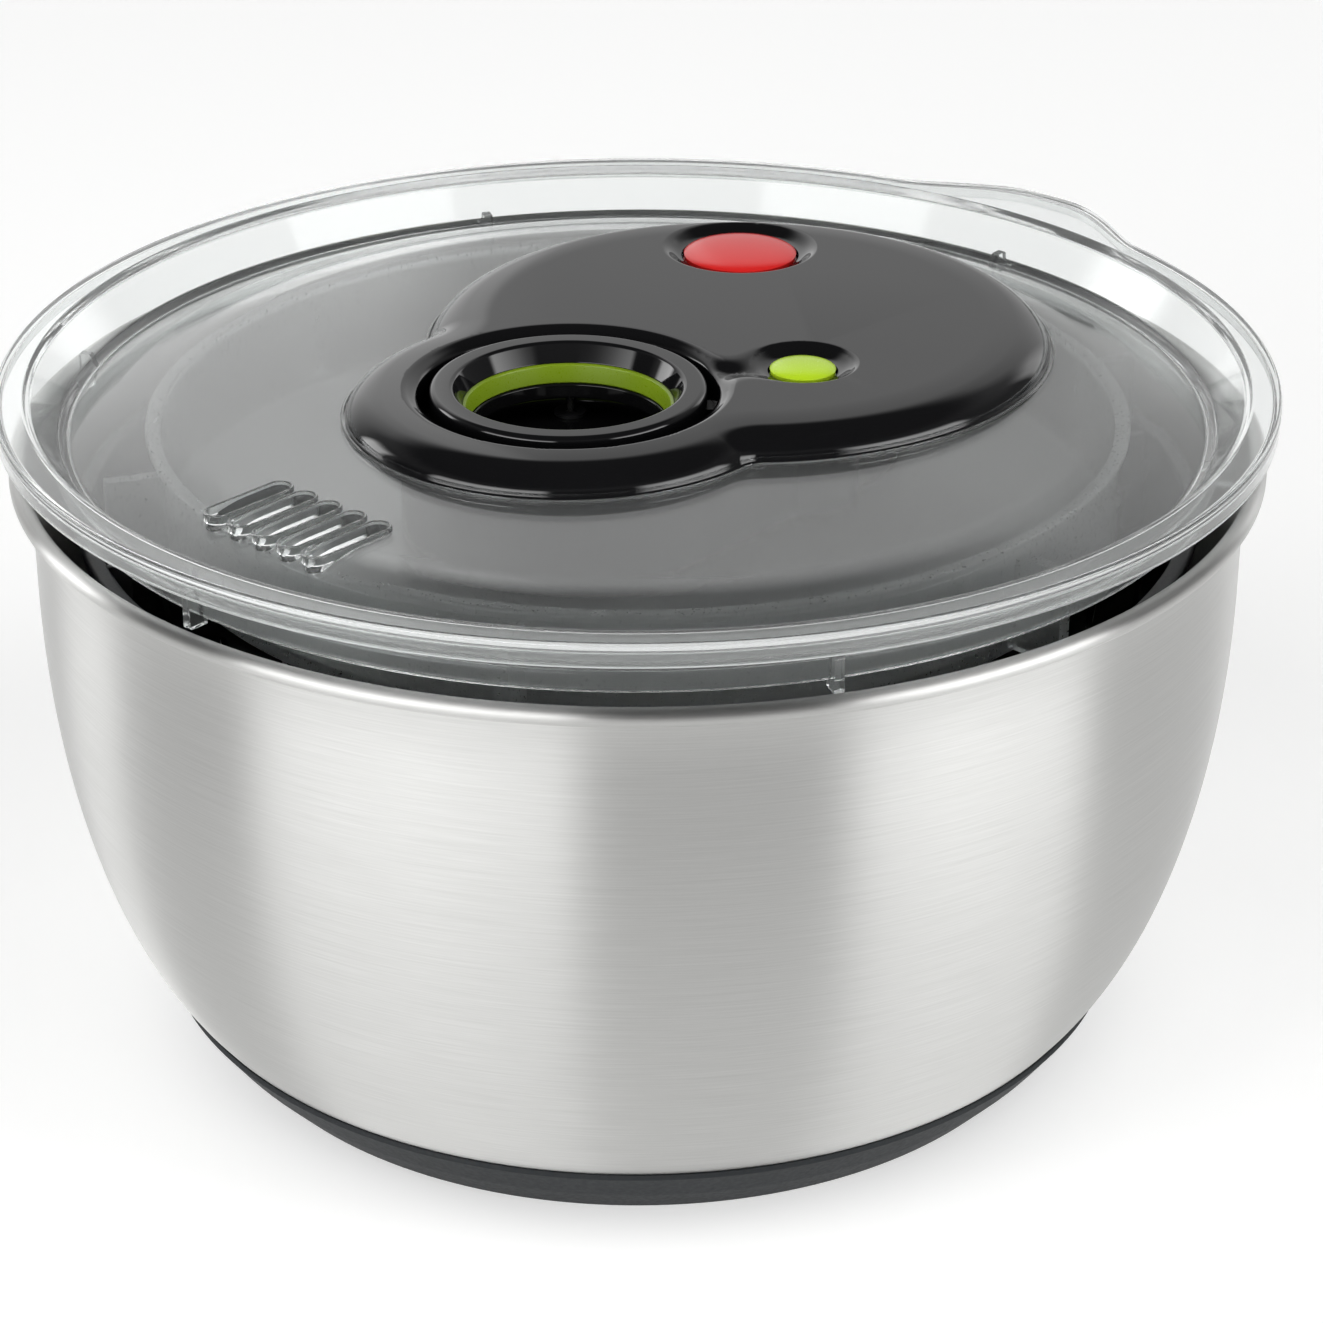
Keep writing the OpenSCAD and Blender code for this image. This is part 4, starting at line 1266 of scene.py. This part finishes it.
def screen(tree, around, bands):
    """Grey levels of the screens that stand at angles about the bowl, from the camera's side."""
    ramp = node(tree, "ShaderNodeValToRGB", {"Fac": around})
    stops = ramp.color_ramp.elements
    while len(stops) > 1:
        stops.remove(stops[-1])
    for i, (degrees, level) in enumerate(bands):
        share = (degrees + 180) / 360
        stop = stops[0] if i == 0 else stops.new(share)
        stop.position = share
        stop.color = (level / BRIGHTEST,) * 3 + (1,)
    return ramp.outputs["Color"]


def make_world():
    """Studio surroundings: bright and dark screens round the bowl under a dark ceiling."""
    world = bpy.data.worlds.new("studio")
    bpy.context.scene.world = world
    world.use_nodes = True
    tree = world.node_tree
    source = node(tree, "ShaderNodeTexCoord")
    facing = node(tree, "ShaderNodeVectorRotate", {"Vector": source.outputs["Generated"],
                                                   "Angle": -CAMERA_SIDE}, rotation_type="Z_AXIS")
    angle, height = about_z(tree, facing.outputs["Vector"])
    around = remap(tree, angle, -math.pi, math.pi)
    colour = screen(tree, around, LOW_BANDS)
    ceiling = (CEILING / BRIGHTEST,) * 3 + (1,)
    for above, fade in ((screen(tree, around, HIGH_BANDS), HIGH_FADE), (ceiling, CEILING_FADE)):
        start, end = (math.sin(math.radians(elevation)) for elevation in fade)
        share = remap(tree, height, start, end, interpolation_type="SMOOTHSTEP")
        mixed = node(tree, "ShaderNodeMix", {MIX_FACTOR: share, MIX_A: colour, MIX_B: above},
                     data_type="RGBA")
        colour = mixed.outputs[MIX_RESULT]
    feed(tree, tree.nodes["Background"], {"Strength": BRIGHTEST, "Color": colour})


def make_softbox(name, side, elevation):
    """Square area light at an angle from the camera's side, aimed at the bowl."""
    a = CAMERA_SIDE + math.radians(side)
    e = math.radians(elevation)
    aim = Vector(SOFTBOX_AIM)
    away = Vector((math.cos(a) * math.cos(e), math.sin(a) * math.cos(e), math.sin(e)))
    data = bpy.data.lights.new(name, "AREA")
    data.size = SOFTBOX_SIZE
    data.energy = SOFTBOX_POWER
    obj = bpy.data.objects.new(name, data)
    obj.location = aim + SOFTBOX_DISTANCE * away
    obj.rotation_euler = (-away).to_track_quat("-Z", "Y").to_euler()
    obj.visible_glossy = False
    bpy.context.scene.collection.objects.link(obj)


def make_floor():
    bm = bmesh.new()
    bmesh.ops.create_circle(bm, cap_ends=True, segments=96, radius=FLOOR_R)
    obj = new_object(bm, "floor")
    material, tree, shader = surface("floor_paper", (0.7, 0.7, 0.695), 0.9)
    feed(tree, shader, {"Emission Color": (1, 1, 1, 1), "Emission Strength": 0.45})
    obj.data.materials.append(material)


def make_camera():
    data = bpy.data.cameras.new("camera")
    data.lens = 100
    data.sensor_width = 36
    obj = bpy.data.objects.new("camera", data)
    obj.location = CAMERA_PLACE
    obj.rotation_euler = [math.radians(a) for a in CAMERA_TURN]
    bpy.context.scene.collection.objects.link(obj)
    bpy.context.scene.camera = obj


make_camera()
make_floor()
make_world()
make_softbox("softbox_left", -52, 50)
make_softbox("softbox_right", 66, 48)
bpy.context.scene.view_settings.view_transform = "Standard"

dress_cad_nodes()
make_bowl()
make_base()
make_basket()
make_driver()
make_lid()
make_cover()
make_ring()
make_insert()
make_button("brake_button_cap", "brake_button", "red_plastic", RED, "brake_button", BRAKE_C,
            BRAKE_R, edge=-0.1, crown_h=1.6, skirt=-3.4, stem=(3.0, -25.7), wall=1.5)
make_button("release_button_cap", "release_button", "lime_plastic", LIME, "release_button", RELEASE_C,
            RELEASE_R, edge=0.0, crown_h=1.3, skirt=-3.0, stem=(2.2, -14.8), wall=1.2)
make_riser()
make_spring("brake_spring_coil", "brake_spring", BRAKE_C, 4.6, 0.45, -12, -2)
make_spring("release_spring_coil", "release_spring", RELEASE_C, 3.9, 0.35,
            -10.5, -2.2)
